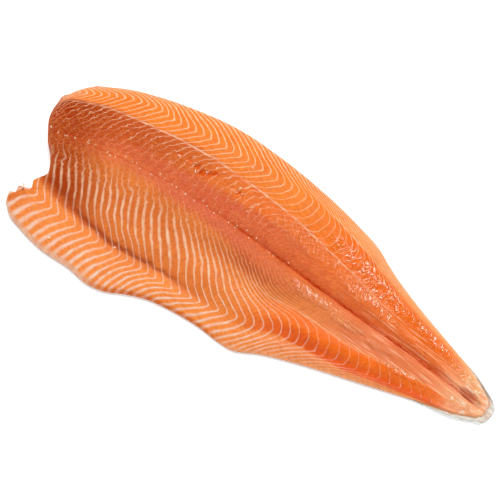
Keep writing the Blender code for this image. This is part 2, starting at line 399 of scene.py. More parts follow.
# %% Groove, hollow, tears and swells
GROOVE_X = (-280, -70, -10, 50, 150, 220, 262, 280)
GROOVE_DEPTH = (0.5, 1, 2, 4, 3.4, 2.4, 2.6, 1)
GROOVE_WIDTH = (6, 6, 6, 6, 5.5, 4, 4, 5)
SLIT_DEPTH = (0, 0.3, 1.2, 1.6, 1.4, 1, 0.5, 0)
SLIT_WIDTH = 1.3
SLIT_STAIN_AND_SHADE_WIDTH = 2.2
# Each tear: X, share across, half length and half width in millimetres, and depth
TEARS = (
    (-124, 0.335, 2.8, 2.2, 1.8),
    (-111, 0.32, 2.6, 2.0, 1.8),
    (-101, 0.30, 3.6, 3.4, 2.8),
    (-92, 0.283, 4.4, 3.8, 3.2),
    (-86, 0.30, 3.2, 2.6, 2.6),
    (-80, 0.33, 3.0, 2.4, 2.4),
    (-49, 0.31, 3.2, 2.4, 2.4),
    (-43, 0.30, 2.4, 2.2, 1.8),
)
HOLLOW_X = 256
HOLLOW_LENGTH = 13
HOLLOW_WIDTH = 3.6
HOLLOW_DEPTH = 1.8


def slit_depth(x, from_groove, width):
    """Depth of the groove's slit in millimetres: a bell across a line that wavers."""
    off = from_groove + 0.6 * noise(x, 0 * x, 14)
    return curve(GROOVE_X, SLIT_DEPTH, x) * bump(off, width)


def tear_depth(x, across, half_width):
    """Depth of the torn spots: a bell round each, with its rim frayed by noise."""
    depth = 0 * x
    off = across * half_width
    for tear_x, tear_across, length, width, deep in TEARS:
        u = (x - tear_x) / length + 0.5 * noise(x, off, 3, 2, tear_x)
        v = (across - tear_across) * half_width / width + 0.5 * noise(x, off, 2.5, 2, 3)
        depth = np.maximum(depth, deep * step_up(1.3 - np.hypot(u, v), 0.6))
    return depth


def hollow_share(x, across, half_width):
    """1 in the long hollow that the end of the backbone leaves, 0 outside it."""
    centre = curve((230, 246, 262, 280), (0.09, 0.12, 0.14, 0.04), x)
    u = (x - HOLLOW_X) / HOLLOW_LENGTH
    v = (across - centre) * half_width / HOLLOW_WIDTH
    return step_up(1.25 - np.hypot(u, v), 0.5)


def fold_line(x, across, half_width):
    """1 on the crisp line where the flap folds up, which wavers, and 0 away from it."""
    waver = 3.5 * noise(x, 0.4 * across * half_width, 8, 3, 33)
    off = (across - curve(CREASE_X, CREASE_ACROSS, x)) * half_width - 1 + waver
    return bump(off, 1.6) * curve((-230, -180, -100, -60, -20), (0, 0.7, 1, 0.8, 0), x)


# Angle of the fibres from the fish's length, in degrees, and the long lines where it changes:
# flap, ribs, inner back, humps, outer back
FIBRE_TURNS = (-22, 58, 20, -20, 25)
FIBRE_LINES = (
    (KINK_X, KINK_ACROSS),
    ((-280, 280), (GROOVE_ACROSS, GROOVE_ACROSS)),
    (LOIN_X, LOIN_ACROSS),
    (APEX_X, APEX_ACROSS),
)


def fibre_angle(x, across):
    """Angle of the fibres in radians: each muscle has its own, up to the next long line."""
    angle = np.full(x.shape, float(FIBRE_TURNS[0]))
    for (stations, shares), turn in zip(FIBRE_LINES, FIBRE_TURNS[1:]):
        angle = np.where(across > curve(stations, shares, x), turn, angle)
    return np.radians(angle)


def turned(x, y, angle):
    """Plan coordinates in millimetres, turned so that the first one runs along the angle."""
    run = x * np.cos(angle) + y * np.sin(angle)
    off = y * np.cos(angle) - x * np.sin(angle)
    return np.stack([run, off], -1)


# Where juice stands in beads: X, share across, half length in millimetres, half width as a
# share, and strength
WET_SPOTS = (
    (122, 0.55, 70, 0.17, 1),
    (200, 0.58, 52, 0.16, 1),
    (126, 0.28, 44, 0.13, 1),
    (78, -0.11, 30, 0.10, 1),
    (44, 0.34, 60, 0.14, 0.55),
    (198, 0.19, 40, 0.09, 0.6),
    (248, 0.56, 18, 0.22, 0.9),
    (120, -0.20, 22, 0.07, 0.8),
    (158, -0.27, 16, 0.06, 0.55),
    (196, -0.50, 26, 0.10, 0.8),
    (252, -0.35, 16, 0.16, 0.8),
    (108, 0.79, 44, 0.08, 0.65),
)


def wet_share(x, across):
    """How thickly juice is beaded at a place: the strongest of a few soft oval spots."""
    share = 0 * x
    for spot_x, spot_across, length, width, strength in WET_SPOTS:
        off = np.hypot((x - spot_x) / length, (across - spot_across) / width)
        share = np.maximum(share, strength * step_up(1.35 - off, 0.9))
    return share


# How high or deep each kind of relief is, in millimetres
STRIPE_RISE = 0.16
SWELL_RISE = 0.5
UNEVEN_RISE = 0.1
RIPPLE_RISE = 0.7
BEAD_RISE = 0.3
FEATHER_RISE = 0.12
FOLD_DEPTH = 0.7
SETTLING = 0.5


def relief(x, y, across, half_width, number):
    """What is added to the muscle height, in millimetres: stripes, swells, ripples at the
    fold, beads of juice and feathery sheets, less the groove, slit, tears, hollow and fold."""
    from_groove = (across - GROOVE_ACROSS) * half_width
    groove = bump(from_groove, curve(GROOVE_X, GROOVE_WIDTH, x))
    groove = curve(GROOVE_X, GROOVE_DEPTH, x) * groove
    slit = slit_depth(x, from_groove, SLIT_WIDTH)
    tears = tear_depth(x, across, half_width)
    hollow = HOLLOW_DEPTH * hollow_share(x, across, half_width)
    from_stripe = np.abs(number - np.round(number))
    stripes = STRIPE_RISE * bump(from_stripe, 0.13) * step_up(np.abs(from_groove) - 12, 15)
    swell = SWELL_RISE * noise(x, y, 34, 2, 1) + UNEVEN_RISE * noise(x, y, 7, 2, 2)
    from_fold = (across - curve(CREASE_X, CREASE_ACROSS, x)) * half_width - 4
    ripples = RIPPLE_RISE * bump(from_fold, 11) * step_up(-20 - x, 60)
    ripples = ripples * noise(x + 0.6 * y, 0.5 * y, 6, 2, 27)
    fibre = turned(x + 1.2 * noise(x, y, 6, 1, 24), y, fibre_angle(x, across))
    beads = BEAD_RISE * wet_share(x, across)
    beads = beads * noise(fibre[..., 0], fibre[..., 1] * 0.4, 3.2, 2, 25)
    feathers = FEATHER_RISE * between(across, -0.25, curve(LOIN_X, LOIN_ACROSS, x), 0.1)
    feathers = feathers * noise(x, y, 3, 2, 26)
    calm = step_up(270 - x, 40)
    sunk = groove + slit + tears + hollow + FOLD_DEPTH * fold_line(x, across, half_width)
    return (stripes + swell + ripples + beads + feathers - SETTLING) * calm - sunk


# %% [markdown]
# ## The flesh as one closed shell
#
# The top is a grid of places. Its rim carries on down as a skirt, which makes the cut
# wall of the belly edge, the round undercut of the back and the two end cuts, and one
# flat face closes it underneath, where the skin hides it. The flesh ends short of the
# skin: by a skin's thickness along the sides, and by more round the tail.

# %% Where the flesh ends
SKIN_THICKNESS = 1.1
SKIN_TAB = 7
SKIN_X = (-280, 200, 235, 262, 282)
BELLY_SKIN = (0, 0, 2.5, 5.5, 6)
BACK_SKIN = (0, 0, 0, 2, 4)
FLESH_STEP = 3
LENGTH = TAIL_X[2] - HEAD_X[3]
FLESH_END = 1 - SKIN_TAB / LENGTH
# How far the flesh's end wavers, as a share of the length, and its thickness there in mm
END_WAVER = 0.007
END_THICKNESS = 0.6


def bare_skin(x, across):
    """Width of the bare skin past the flesh, in millimetres, with a torn, uneven edge."""
    wide = np.where(across > 0, curve(SKIN_X, BACK_SKIN, x), curve(SKIN_X, BELLY_SKIN, x))
    torn = 1.1 * noise(x, across * 20, 6, 3, 5) * step_up(wide, 3)
    cut = 0.35 * noise(x, across * 20, 9, 3, 6)
    return np.maximum(wide + torn + cut, 0) + np.where(across > 0, 0.4, 0.15)


def flesh_place(u, v):
    """Plan place and height of the flesh's top at u along and v across its own outline."""
    end = FLESH_END + END_WAVER * noise(v * 30, 0 * v, 6, 3, 4)
    along = u * end
    x, _, half_width = plan(along, v)
    across = v * (1 - bare_skin(x, v) / half_width)
    x, y, half_width = plan(along, across)
    number = stripe_number(x, y, across)
    z = muscle_height(x, across) + relief(x, y, across, half_width, number)
    rim = rim_height(x, across)
    power = np.where(across > 0, BACK_POWER, BELLY_POWER)
    kept = np.sqrt(1 - np.abs(v) ** power)
    z = rim + (z - rim) * kept
    wall = np.where(v < 0, step_up(0.93 - kept, 0.3), 0)
    z = z * (1 - HEAD_ROLL * np.clip(1 - along / HEAD_ROLL_LENGTH, 0, 1) ** 2)
    thin = SKIN_THICKNESS + END_THICKNESS
    near_tail = step_up((1 - u) * LENGTH + 0.8, FLESH_STEP + 0.8)
    to_edge = (1 - np.abs(v)) * half_width
    near_edge = np.where(bare_skin(x, v) > 1.6, step_up(to_edge + 0.8, FLESH_STEP), 1)
    z = thin + (z - thin) * near_tail * near_edge
    return along, across, x, y, np.maximum(z, thin), half_width, number, wall


ROWS = 468
U = np.concatenate([
    (0, 0.0008, 0.002, 0.0035),
    np.linspace(0.005, 0.995, ROWS - 8),
    (0.9965, 0.998, 0.999, 1),
])
V = np.concatenate([
    (-1, -0.9985, -0.995, -0.99, -0.982),
    np.linspace(-0.973, -0.012, 76),
    (0.0, 0.008, 0.014, 0.02, 0.026, 0.032, 0.04, 0.05),
    np.linspace(0.062, 0.93, 70),
    (0.94, 0.95, 0.96, 0.969, 0.977, 0.984, 0.99, 0.995, 0.9985, 1),
])
shares = np.meshgrid(U, V, indexing="ij")
along, across, x, y, z, half_width, number, wall = flesh_place(*shares)
print("grid:", z.shape, "top at", round(float(z.max()), 1), "mm")
print("stripes from head to tail:", round(float(np.ptp(number))))


# %% Put a shell together from grids
def loop_of(rows, columns):
    """Places in a grid's outer loop, anticlockwise from above: along the belly edge to the
    tail, over to the back, home along the back, and down the head cut."""
    index = np.arange(rows * columns).reshape(rows, columns)
    return np.concatenate([index[:, 0], index[-1, 1:], index[-2::-1, -1], index[0, -2:0:-1]])


def quads(rows, columns, first=0):
    """The faces of a grid, seen anticlockwise from above, as rows of four vertex numbers."""
    index = first + np.arange(rows * columns).reshape(rows, columns)
    corners = [index[:-1, :-1], index[1:, :-1], index[1:, 1:], index[:-1, 1:]]
    return np.stack(corners, -1).reshape(-1, 4)


def bands(loops):
    """Faces between closed loops of equal length, each further down or in than the last."""
    faces = []
    for near, far in zip(loops, loops[1:]):
        faces.append(np.stack([near, far, np.roll(far, -1), np.roll(near, -1)], -1))
    return np.concatenate(faces)


MERGE = 0.004


def new_piece(name, points, faces, values, material):
    """A smooth mesh object from points in millimetres. `values` are numbers, colours or pairs
    kept at each vertex for the shader, and pairs may be given at each face corner. Points
    less than MERGE millimetres apart become one, faces that this empties go, and any face
    with more than four corners becomes triangles."""
    mesh = bpy.data.meshes.new(name)
    mesh.from_pydata((points * MM).tolist(), [], [list(map(int, face)) for face in faces])
    for key, value in values.items():
        if value.ndim == 1:
            layer = mesh.attributes.new(key, "FLOAT", "POINT")
            layer.data.foreach_set("value", value.astype(np.float32))
        elif value.shape[1] == 2:
            layer = mesh.uv_layers.new(name=key)
            if len(value) != len(mesh.loops):
                corner = np.empty(len(mesh.loops), np.int32)
                mesh.loops.foreach_get("vertex_index", corner)
                value = value[corner]
            layer.data.foreach_set("uv", value.astype(np.float32).ravel())
        else:
            layer = mesh.attributes.new(key, "FLOAT_COLOR", "POINT")
            four = np.concatenate([value, np.ones((len(value), 1))], axis=1)
            layer.data.foreach_set("color", four.astype(np.float32).ravel())
    shape = bmesh.new()
    shape.from_mesh(mesh)
    bmesh.ops.remove_doubles(shape, verts=shape.verts, dist=MERGE * MM)
    bmesh.ops.dissolve_degenerate(shape, edges=shape.edges, dist=MERGE * MM)
    bmesh.ops.triangulate(shape, faces=[face for face in shape.faces if len(face.verts) > 4])
    open_edges = sum(1 for edge in shape.edges if not edge.is_manifold)
    shape.to_mesh(mesh)
    shape.free()
    mesh.shade_smooth()
    mesh.materials.append(material)
    piece = bpy.data.objects.new(name, mesh)
    bpy.context.scene.collection.objects.link(piece)
    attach(piece, "root")
    triangles = sum(len(face.vertices) - 2 for face in mesh.polygons)
    print(name, "has", triangles, "triangles and", open_edges, "open edges")
    return piece


# %% [markdown]
# ## Colours that follow the anatomy, with painted shade and light
#
# The colour of the flesh changes with the muscle: pale and bright on the flap and on the
# outer back, deeper over the ribs, pinkish red in a band beside the seam where blood
# stains it, and a strong orange on the humps of the tail half. Some zones are painted
# shade: the steep rib wall, the low side of the belly hump, the fold of the flap, the
# trough above the belly's white line, the torn pits, the slit and the head end. The outer
# back by the head is painted lighter as painted light, the rims of the tears carry a
# painted highlight, and the pale squiggles at the tail end are partly painted glints. Each
# zone is laid over the last with a soft mask worked out from the long lines, and kept at
# the vertices, which lie about a millimetre apart. The stripes are not painted here: they
# are sharper than the mesh, so the shader draws them from the stripe numbers.

# %% Named colours
def linear(code):
    """An sRGB hex colour as linear red, green and blue."""
    share = np.array([int(code[i:i + 2], 16) for i in (1, 3, 5)]) / 255
    return np.where(share <= 0.04045, share / 12.92, ((share + 0.055) / 1.055) ** 2.4)


FLAP_ORANGE = "#ee863a"
RIB_ORANGE = "#df7632"
RIB_WALL_SHADE = "#c85a1a"
BACK_ORANGE = "#ee7a20"
LOIN_RED = "#bc4000"
BLOOD_PINK = "#ce5230"
HUMP_ORANGE = "#ee6600"
HUMP_LOW_SHADE = "#dc4c00"
WALL_ORANGE = "#cf601c"
TEAR_RIM_HIGHLIGHT = "#f8b480"
RIDGE_PINK = "#e27448"
EDGE_PALE = "#f08e42"
STRIP_ORANGE = "#e48044"
VALLEY_SHADE = "#b03a00"
FOLD_LINE_SHADE = "#842600"
INNER_TAIL = "#e8681e"
CUT_WALL = "#ecae8a"
SLIT_STAIN_AND_SHADE = "#c23c0c"
HOLLOW_RED = "#c06646"
HOLLOW_PINK = "#d59a72"
TAIL_PALE = "#f9b283"
HEAD_EDGE_SHADE = "#b5501c"
HEAD_LIGHT = "#eca27a"
TEAR_PIT_SHADE = "#dc5608"
HEAD_SHADE = "#9c2e00"
FEATHER = "#f29650"
STREAK_PALE_AND_SHEEN = "#fbc29c"
FROST_AND_GLINTS = "#fbd9c0"
WALL_PALE = "#f29a62"
WALL_FOOT = "#b8582a"


def paint(base, code, mask):
    """Lays a colour over what is there, as strongly as the mask says."""
    mask = np.clip(mask, 0, 1)[..., None]
    return base * (1 - mask) + linear(code) * mask


# %% Lay the zones over each other
def flesh_colour(x, y, across, half_width, wall):
    """Colour of the muscle at each place, before the stripes. Some zones are painted shade
    or painted light.
    """
    crease = curve(CREASE_X, CREASE_ACROSS, x)
    loin = curve(LOIN_X, LOIN_ACROSS, x)
    ventral = curve(VENTRAL_X, VENTRAL_ACROSS, x)
    tail_half = step_up(x + 40, 110)
    wander = 0.03 * noise(x, y, 22, 3, 8)
    place = across + wander
    colour = np.zeros(x.shape + (3,)) + linear(FLAP_ORANGE)
    ribs = between(place, crease, -0.04, 0.1) * (1 - 0.5 * tail_half)
    colour = paint(colour, RIB_ORANGE, ribs)
    colour = paint(colour, BACK_ORANGE, between(place, loin, 1.2, 0.03))
    red = between(place, 0.1, loin - 0.03, 0.08) * (1 - step_up(x + 190, 260))
    colour = paint(colour, LOIN_RED, red)
    inner_tail = between(place, 0.05, loin - 0.02, 0.06) * step_up(x + 150, 150)
    colour = paint(colour, INNER_TAIL, inner_tail)
    # Painted shade: the steep rib wall by the head is made deeper.
    beside = between(place, -0.36, -0.12, 0.12) * (1 - step_up(x + 110, 90))
    colour = paint(colour, RIB_WALL_SHADE, 0.5 * beside)
    blood = curve((-280, -200, -120, -40, 30, 90, 280), (0.25, 0.6, 0.9, 1, 0.7, 0.4, 0.2), x)
    high = curve((-280, -150, -60, 0, 60, 280), (0.06, 0.15, 0.17, 0.24, 0.2, 0.15), x)
    low = curve((-280, -100, -40, 20, 80, 280), (-0.02, -0.04, -0.1, -0.2, -0.16, -0.1), x)
    colour = paint(colour, BLOOD_PINK, blood * between(place, low, high, 0.09))
    ridge = between(place, ventral + 0.06, -0.02, 0.05) * tail_half
    colour = paint(colour, RIDGE_PINK, 0.8 * ridge * step_up(x - 40, 110))
    outer = curve(OUTER_LINE_X, OUTER_LINE_ACROSS, x)
    strip = curve(STRIP_X, STRIP_ACROSS, x)
    back_hump = between(place, loin + 0.01, outer - 0.03, 0.05) * step_up(x - 5, 90)
    colour = paint(colour, HUMP_ORANGE, back_hump)
    belly_hump = between(place, strip, ventral - 0.02, 0.035) * step_up(x - 10, 90)
    colour = paint(colour, HUMP_ORANGE, belly_hump)
    # Painted shade: the low side of the belly hump, where it turns down towards the strip.
    low_side_shade = step_up(0.6 * ventral + 0.4 * strip - place, 0.15)
    colour = paint(colour, HUMP_LOW_SHADE, 0.9 * belly_hump * low_side_shade)
    back_edge = 0.6 * between(place, outer + 0.02, 1.2, 0.03) * step_up(x - 10, 80)
    colour = paint(colour, EDGE_PALE, back_edge)
    belly_strip = 0.9 * between(place, -1.2, strip - 0.02, 0.02) * step_up(x - 20, 90)
    colour = paint(colour, STRIP_ORANGE, belly_strip)
    # Painted shade in the fold of the flap, darkest on a painted shade line along its crisp
    # edge.
    from_fold = place - crease + 0.008 * noise(x, y, 9, 2, 34)
    foot = curve((-260, -160, -130, -80, -50, 0), (0.05, 0.04, 0.014, 0.014, 0.04, 0.05), x)
    fold = bump(from_fold, np.where(from_fold < 0, foot, 0.035))
    fold = fold * curve((-260, -225, -170, -100, -50, 0), (0, 0.6, 0.95, 0.9, 0.4, 0), x)
    colour = paint(colour, VALLEY_SHADE, 0.9 * fold)
    colour = paint(colour, FOLD_LINE_SHADE, 0.75 * fold_line(x, across, half_width))
    # Painted shade in the trough above the belly's white line.
    trough_shade = curve((-70, -20, 10, 40, 90), (0, 0.6, 0.9, 0.6, 0), x)
    trough_shade = bump(place - ventral - 0.09, 0.085) * trough_shade
    colour = paint(colour, VALLEY_SHADE, 0.9 * trough_shade)
    kept_orange = 0.6 * belly_hump * step_up(248 - x, 22)
    tail = step_up(x - 203 - 10 * np.abs(across), 50)
    colour = paint(colour, TAIL_PALE, (0.85 - kept_orange) * tail)
    # Pale squiggles at the tail end: pale membrane, and painted glints.
    frost_and_glints = step_up(noise(x * 0.45, y, 2.6, 3, 28) - 0.02, 0.35) * step_up(x - 238, 18)
    colour = paint(colour, FROST_AND_GLINTS, 0.9 * frost_and_glints)
    # The slit is painted dark red: stained flesh, and painted shade in the slit.
    from_groove = (across - GROOVE_ACROSS) * half_width
    colour = paint(colour, SLIT_STAIN_AND_SHADE, 0.35 * slit_depth(x, from_groove, SLIT_STAIN_AND_SHADE_WIDTH))
    # The tears: a painted highlight on their rims, and painted shade in their pits.
    tear = tear_depth(x, across, half_width)
    colour = paint(colour, TEAR_RIM_HIGHLIGHT, 0.6 * bump(tear - 0.45, 0.3))
    colour = paint(colour, TEAR_PIT_SHADE, step_up(tear - 0.8, 0.8))
    hollow = hollow_share(x, across, half_width)
    colour = paint(colour, HOLLOW_RED, hollow * step_up(266 - x, 6))
    colour = paint(colour, HOLLOW_PINK, hollow * step_up(x - 261, 5))
    # By the head: painted shade over the inner muscle and on the rolled edge, and painted light
    # on the outer back.
    from_head = x - curve(HEAD_ACROSS, HEAD_X, across)
    head_shade = step_up(92 - from_head, 70) * between(place, 0.9 * crease, loin, 0.06)
    colour = paint(colour, HEAD_SHADE, 0.85 * head_shade)
    head_light = 0.6 * step_up(34 - from_head, 30) * step_up(place - loin - 0.02, 0.1)
    colour = paint(colour, HEAD_LIGHT, head_light)
    cut_head_shade = 0.8 * step_up(9 - from_head, 9) * step_up(across + 0.6, 0.2)
    colour = paint(colour, HEAD_EDGE_SHADE, cut_head_shade)
    flap_head_shade = 0.4 * step_up(16 - from_head, 14) * step_up(-0.5 - across, 0.1)
    colour = paint(colour, HEAD_EDGE_SHADE, flap_head_shade)
    colour = paint(colour, CUT_WALL, wall * (1 - step_up(x + 130, 40)))
    colour = paint(colour, WALL_ORANGE, 0.8 * wall * between(x, -90, 10, 40))
    colour = paint(colour, WALL_PALE, wall * step_up(x - 10, 40))
    return paint(colour, WALL_FOOT, 0.9 * (wall - 1))


# %% Strength and width of the stripes
LINE_X = (-280, -150, -50, 20, 90, 160, 280)


def line_strength(x, across, wall):
    """How clearly the pale lines show: fully on the flap, hardly at all beside the seam, and
    half as clearly down in the fold, dimmed there as painted shade."""
    kink = curve(KINK_X, KINK_ACROSS, x)
    loin = curve(LOIN_X, LOIN_ACROSS, x)
    apex = curve(APEX_X, APEX_ACROSS, x)
    lines = [-1, kink, 0.7 * kink, 0.4 * kink, 0.2 * kink, 0]
    lines += [0.45 * loin, 0.75 * loin, loin, apex, (1 + apex) / 2, 1]
    rows = [
        (1, 1, 1, 1, 0.6, 0.25, 0),
        (0.9, 0.9, 0.9, 0.9, 0.6, 0.45, 0.1),
        (0.85, 0.9, 0.95, 0.9, 0.5, 0.4, 0.1),
        (0.55, 0.75, 0.8, 0.5, 0.25, 0.2, 0.1),
        (0.15, 0.3, 0.3, 0.2, 0.15, 0.1, 0.1),
        (0.1, 0.1, 0.1, 0.05, 0, 0, 0),
        (0.45, 0.4, 0.4, 0.3, 0.1, 0, 0),
        (0.8, 0.85, 0.8, 0.45, 0.15, 0.05, 0),
        (0.8, 0.9, 0.85, 0.6, 0.3, 0.1, 0.05),
        (0.8, 0.85, 0.85, 0.7, 0.35, 0.15, 0.1),
        (0.9, 0.95, 0.95, 0.95, 0.95, 0.85, 0.5),
        (0.9, 0.95, 0.95, 0.95, 0.95, 0.85, 0.6),
    ]
    # Painted shade: the lines are dimmed in the fold.
    crease = curve(CREASE_X, CREASE_ACROSS, x)
    fold_shade = bump(across - crease - 0.01, 0.07) * between(x, -235, -50, 30)
    strength = (1 - 0.5 * fold_shade) * table(LINE_X, rows, x, across, lines)
    return strength * (1 - 0.6 * np.clip(wall, 0, 1))


def line_width(x, across):
    """Half width of a pale line, as a share of the way from one line to the next."""
    kink = curve(KINK_X, KINK_ACROSS, x)
    apex = curve(APEX_X, APEX_ACROSS, x)
    lines = [-1, 0.5 * (kink - 1), kink, 0.5 * kink, 0, 0.3, apex, 1]
    rows = [
        (0.27, 0.27, 0.25, 0.24, 0.22, 0.2, 0.18),
        (0.22, 0.21, 0.2, 0.2, 0.2, 0.18, 0.16),
        (0.11, 0.11, 0.11, 0.11, 0.09, 0.06, 0.06),
        (0.2, 0.2, 0.2, 0.18, 0.1, 0.05, 0.05),
        (0.08, 0.08, 0.07, 0.07, 0.07, 0.07, 0.07),
        (0.06, 0.06, 0.06, 0.06, 0.06, 0.06, 0.06),
        (0.14, 0.12, 0.09, 0.07, 0.06, 0.06, 0.06),
        (0.17, 0.17, 0.17, 0.18, 0.22, 0.22, 0.2),
    ]
    return np.maximum(table(LINE_X, rows, x, across, lines), 0.04)


def long_lines(x, across, half_width):
    """The pale sheets that run along the fish: the white line of the back, the one of the
    belly in the tail half, and where the stripes of the outer back run together."""
    waver = 1.3 * noise(x, 0 * x, 11, 3, 9)
    loin = (across - curve(LOIN_X, LOIN_ACROSS, x)) * half_width + waver
    ventral = (across - curve(VENTRAL_X, VENTRAL_ACROSS, x)) * half_width + waver
    outer_line = (across - curve(OUTER_LINE_X, OUTER_LINE_ACROSS, x)) * half_width + waver
    back = bump(loin, 0.5) * curve((-280, -255, -200, 60, 120, 150), (0, 0.7, 1, 1, 0.7, 0), x)
    belly = bump(ventral, 0.6) * curve((5, 45, 120, 165), (0, 0.6, 0.6, 0), x)
    outer = bump(outer_line, 0.6) * curve((0, 30, 90, 130), (0, 0.7, 0.7, 0), x)
    return np.maximum(np.maximum(back, belly), outer)


# %% Build the flesh
SKIRT = 8
# How deep the flesh stands in the skin, and how deep one stripe of the cut wall reaches
OVERLAP = 0.15
WALL_STRIPE = 7


def flesh_shell():
    """Points and faces of the closed shell, with the place of every point: the top grid,
    the skirt below its rim, whose loops sink from the rim to the skin while the undercut
    draws them in, and the flat face underneath."""
    top = np.stack([x, y, z], -1).reshape(-1, 3)
    rim = loop_of(len(U), len(V))
    rim_along, rim_across, rim_number = [field.ravel()[rim] for field in (along, across, number)]
    points = [top]
    places = [np.stack([along, across, half_width, number, wall], -1).reshape(-1, 5)]
    loops = [rim]
    for k in range(1, SKIRT + 1):
        w = k / SKIRT
        inset = 1 - (1 - undercut_start(rim_across)) * w
        drawn = np.clip(rim_across, -inset, inset)
        px, py, half = plan(rim_along, drawn)
        lowest = skin_height(px, drawn) + SKIN_THICKNESS - OVERLAP
        side = np.abs(rim_across) > 0.9 * np.max(np.abs(rim_across))
        fall = np.where(side & (rim_across > 0), 1 - (1 - w) ** 2, w)
        pz = top[rim, 2] * (1 - fall) + np.minimum(lowest, top[rim, 2]) * fall
        depth = top[rim, 2] - pz
        wall_number = rim_number + depth / WALL_STRIPE
        points.append(np.stack([px, py, pz], -1))
        # 1 on the upper part of the cut wall, and on to 2 at its foot
        deep_wall = min(1, 3 * w) + max(0, w - 0.4) / 0.6
        rim_wall = np.maximum(wall.ravel()[rim], deep_wall * (side & (rim_across < 0)))
        places.append(np.stack([rim_along, drawn, half, wall_number, rim_wall], -1))
        loops.append(len(top) + (k - 1) * len(rim) + np.arange(len(rim)))
    faces = [*quads(len(U), len(V)), *bands(loops), loops[-1][::-1]]
    return np.concatenate(points), np.concatenate(places), faces


flesh_points, places, flesh_faces = flesh_shell()
print("flesh:", len(flesh_points), "points")

# %% [markdown]
# ## The skin
#
# Below lies the fish's own skin, a tough sheet about a millimetre thick. It lies flat on
# the board, turns up round the back in a quarter ellipse, and ends in a cut edge. At the
# tail it reaches past the flesh as a bare, crumpled tab, whose inner side is greyish white
# with a little fat left on it. It is made as two sheets, an outer and an inner one, that
# meet at the cut edge.

# %% Build the skin
SKIN_ALONG = np.concatenate([np.linspace(0, 0.93, 150), np.linspace(0.935, 1, 60)])
SKIN_ACROSS = np.concatenate([
    (-1, -0.99, -0.98, -0.96),
    np.linspace(-0.92, 0.78, 60),
    np.linspace(0.8, 1, 16),
])
WRINKLE = 2.2


def skin_sheet(along, v, thick):
    """Points of the sheet `thick` millimetres in from the outer side: above it where the skin
    lies flat, and inside it where it stands up. On the bare tab, folds run lengthwise."""
    x, _, half_width = plan(along, v)
    u = turned_up(v)
    x, y, half_width = plan(along, v - np.sign(v) * u * u * thick / half_width)
    rim = rim_height(x, v)
    height = thick + (rim - thick) * (1 - np.sqrt(1 - u * u))
    from_end = (1 - along) * LENGTH
    from_side = (1 - np.abs(v)) * half_width
    bare_side = step_up(bare_skin(x, v) - from_side - 1, 2.5)
    bare = np.maximum(step_up(SKIN_TAB - from_end, 3), bare_side)
    folds = 0.5 + 0.5 * noise(x * 0.7, y, 3.6, 3, 12)
    return np.stack([x, y, height + WRINKLE * bare * folds * step_up(x - 215, 40)], -1)


skin_grid = np.meshgrid(SKIN_ALONG, SKIN_ACROSS, indexing="ij")
outer = skin_sheet(*skin_grid, 0)
inner = skin_sheet(*skin_grid, SKIN_THICKNESS)
skin_count = skin_grid[0].size
skin_loop = loop_of(len(SKIN_ALONG), len(SKIN_ACROSS))
skin_points = np.concatenate([outer.reshape(-1, 3), inner.reshape(-1, 3)])
skin_faces = [*quads(len(SKIN_ALONG), len(SKIN_ACROSS))[:, ::-1]]
skin_faces += [*quads(len(SKIN_ALONG), len(SKIN_ACROSS), skin_count)]
skin_faces += [*bands([skin_count + skin_loop, skin_loop])]
middle = (skin_points.min(0) + skin_points.max(0)) / 2
box_middle = np.add(*cad_box) / 2 / MM
shift = np.array([box_middle[0] - middle[0], box_middle[1] - middle[1], 0])
print("moved by, in mm, to lie in the solid's box:", shift.round(2))

# %% [markdown]
# ## Adding nodes
#
# Materials are built from nodes. One helper adds a node, sets what is a plain value, and
# links what is the output of another node. Object coordinates are in metres, so a pattern
# whose features are some millimetres apart gets the scale 1000 / millimetres.

# %% The node helper
def add(tree, kind, settings=None, inputs=None):
    """Adds one node. `settings` are its own choices by name. `inputs` are its sockets by name
    or place: a value is set there, and another node's output is linked to it."""
    made = tree.nodes.new("ShaderNode" + kind)
    for key, value in (settings or {}).items():
        setattr(made, key, value)
    for key, value in (inputs or {}).items():
        if isinstance(value, bpy.types.NodeSocket):
            tree.links.new(value, made.inputs[key])
        else:
            made.inputs[key].default_value = value
    return made


def new_material(name):
    """An empty material and its node tree."""
    material = bpy.data.materials.new(name)
    material.use_nodes = True
    material.node_tree.nodes.clear()
    return material, material.node_tree


def rgba(code):
    """A hex colour as the four linear numbers that a colour socket takes."""
    return (*linear(code), 1.0)


# %% [markdown]
# ## Raw salmon flesh, cut with a knife
#
# Wet muscle is a little translucent, so light goes in and comes out reddened, and its
# surface is covered by a film of its own juice that gives sharp small glints. The pale
# sheets of fat and connective tissue are drawn where the stripe number is whole, wider
# towards the belly edge. The fibres have their own angle in each muscle, so the mesh
# carries plan coordinates turned by that angle, in millimetres, and the grain is noise
# stretched along them. Real fibres are a few tenths of a millimetre wide. These are drawn
# about two millimetres wide, as coarse as they need to be to show.

# %% What the flesh material reads
flesh, tree = new_material("raw_salmon_flesh_knife_cut")
where = add(tree, "TexCoord").outputs["Object"]
fibre = add(tree, "UVMap", {"uv_map": "fibre"}).outputs[0]
lengthwise = add(tree, "UVMap", {"uv_map": "lengthwise"}).outputs[0]
read = {}
kept_numbers = ("stripe", "line_width", "line_strength", "long_line", "feather", "fray")
kept_numbers += ("wet", "streak", "crack")
for name in kept_numbers:
    read[name] = add(tree, "Attribute", {"attribute_name": name}).outputs["Fac"]
ground = add(tree, "Attribute", {"attribute_name": "ground"}).outputs["Color"]
pale = add(tree, "Attribute", {"attribute_name": "pale"}).outputs["Color"]

